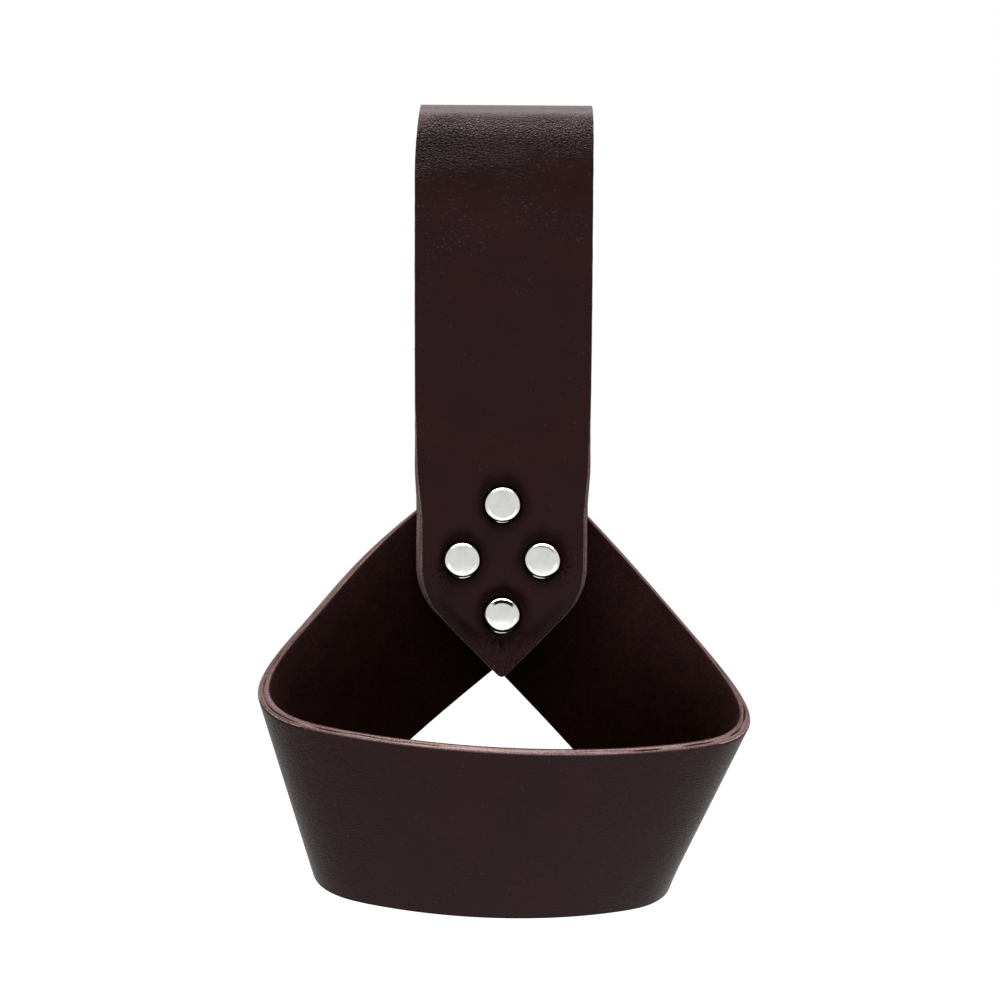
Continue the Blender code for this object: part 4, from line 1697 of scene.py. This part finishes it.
@dataclass(frozen=True)
class Lamp:
    """One soft rectangular studio lamp."""

    name: str
    place: Place
    aim: Place
    width: float
    height: float
    power: float
    mirrored: bool = True

    def build(self) -> bpy.types.Object:
        """Make the lamp.

        Returns:
            The lamp, pointed at its aim.
        """
        data = bpy.data.lights.new(self.name, "AREA")
        data.shape = "RECTANGLE"
        data.size = self.width
        data.size_y = self.height
        data.energy = self.power
        lamp = placed(self.name, data)
        lamp.visible_camera = False
        lamp.visible_glossy = self.mirrored
        turn = (Vector(self.aim) - Vector(self.place)).to_track_quat("-Z", "Y")
        lamp.matrix_world = Matrix.Translation(self.place) @ turn.to_matrix().to_4x4()
        return lamp


@dataclass
class Studio:
    """White studio: soft lamps, a pale floor below the hanging holder and a white surround."""

    floor_level: float = -0.62
    floor_size: float = 8.0
    floor_tone: float = 0.80
    floor_roughness: float = 0.95
    floor_glow: float = 0.72
    fill: float = 0.32
    lamps: tuple[Lamp, ...] = (
        Lamp("back_softbox", (0.0, 0.30, 0.45), (0.0, 0.0, 0.0), 0.90, 0.35, 1.6),
        Lamp("top_softbox", (0.0, -0.06, 0.48), (0.0, -0.06, 0.0), 0.90, 0.48, 17.2),
        Lamp("front_softbox", (0.0, -0.85, 0.35), (0.0, 0.0, -0.12), 1.3, 0.6, 1.3, mirrored=False),
        Lamp("low_softbox", (0.0, -0.75, -0.52), (0.0, -0.04, -0.18), 1.2, 0.5, 1.2),
    )

    def surround(self) -> None:
        """White to the eye and in reflections, and a plain soft fill for the rest."""
        world = bpy.data.worlds.new("white_surround")
        bpy.context.scene.world = world
        world.use_nodes = True
        desk = NodeDesk(world.node_tree)
        plain = desk.feed(world.node_tree.nodes["Background"], Color=WHITE, Strength=self.fill)
        white = desk.feed(desk.add("Background"), Color=WHITE, Strength=1.0)
        desk.join("MixShader", "World Output", desk.seen(), plain.outputs[0], white.outputs[0])

    def floor(self) -> bpy.types.Object:
        """Pale floor below, which keeps the holder's shadow.

        Returns:
            The floor.
        """
        half = self.floor_size / 2
        mesh = bpy.data.meshes.new("studio_floor")
        corners = [(-half, -half, 0), (half, -half, 0), (half, half, 0), (-half, half, 0)]
        mesh.from_pydata(corners, [], [(0, 1, 2, 3)])
        mesh.materials.append(self.floor_material())
        floor = placed("studio_floor", mesh)
        floor.location = (0, 0, self.floor_level)
        return floor

    def floor_material(self) -> bpy.types.Material:
        """Pale matt paper that looks white to the eye and in reflections."""
        material, desk, paper = fresh_material("pale_paper")
        paper.inputs["Base Color"].default_value = (*[self.floor_tone] * 3, 1.0)
        paper.inputs["Roughness"].default_value = self.floor_roughness
        strength = desk.times(desk.seen(), self.floor_glow)
        glow = desk.feed(desk.add("Emission"), Color=WHITE, Strength=strength)
        desk.join("AddShader", "Material Output", paper.outputs[0], glow.outputs[0])
        return material

    def build(self) -> None:
        """Make the surround, the floor and the lamps."""
        self.surround()
        self.floor()
        for lamp in self.lamps:
            lamp.build()
        bpy.context.scene.view_settings.view_transform = "Standard"


def main() -> None:
    """Build the picture of the cup holder, sub-assembly by sub-assembly."""
    logging.basicConfig(level=logging.INFO, format="%(name)s: %(message)s")
    effects = SharedEffects()
    # The belt loop's dashes are pale, as painted highlights on wrinkle rims.
    loop_leather = LeatherFinish(
        "belt_loop_leather", effects, cell=0.00069, stretch=(0.66, 1.0, 1.0), dash_strength=0.65,
        dash=(0.0400, 0.0210, 0.0220), dash_sparse=0.63,
    )
    ring_leather = LeatherFinish(
        "cup_ring_leather", effects, cell=0.00070, stretch=(1.0, 0.55, 1.0), dash_strength=0.90,
        shade=(0.0140, 0.0025, 0.0030), light=(0.0190, 0.0034, 0.0040), dash_height=-0.00008,
        specular=0.080,
    )
    # Nickel caps with a painted dark reflection round the rim; the right and bottom caps also have a
    # painted dark arc above.
    nickel = {
        "plain": MetalFinish("rivet_nickel", effects, painted_reflection_share=1.0),
        "right": MetalFinish("rivet_nickel_thin_arc", effects, painted_reflection_share=1.0, arc=0.00012),
        "bottom": MetalFinish("rivet_nickel_wide_arc", effects, painted_reflection_share=1.0, arc=0.00050),
    }
    steel = MetalFinish(
        "rivet_steel", effects, bright=(0.50, 0.50, 0.49), dull=(0.42, 0.42, 0.41),
        roughness=0.35, haze=0.15,
    )
    loop_flesh = FleshFinish("belt_loop_flesh", effects)
    ring_flesh = FleshFinish("cup_ring_flesh", effects)
    BeltLoop("belt_loop_strap", "belt_loop_leather", loop_leather, loop_flesh).build()
    CupRing("cup_ring_strap", "cup_ring_leather", ring_leather, ring_flesh).build()
    Rivets(nickel, steel).build(frame["nodes"])
    Studio().build()
    Camera().build()


if __name__ == "__main__":
    main()
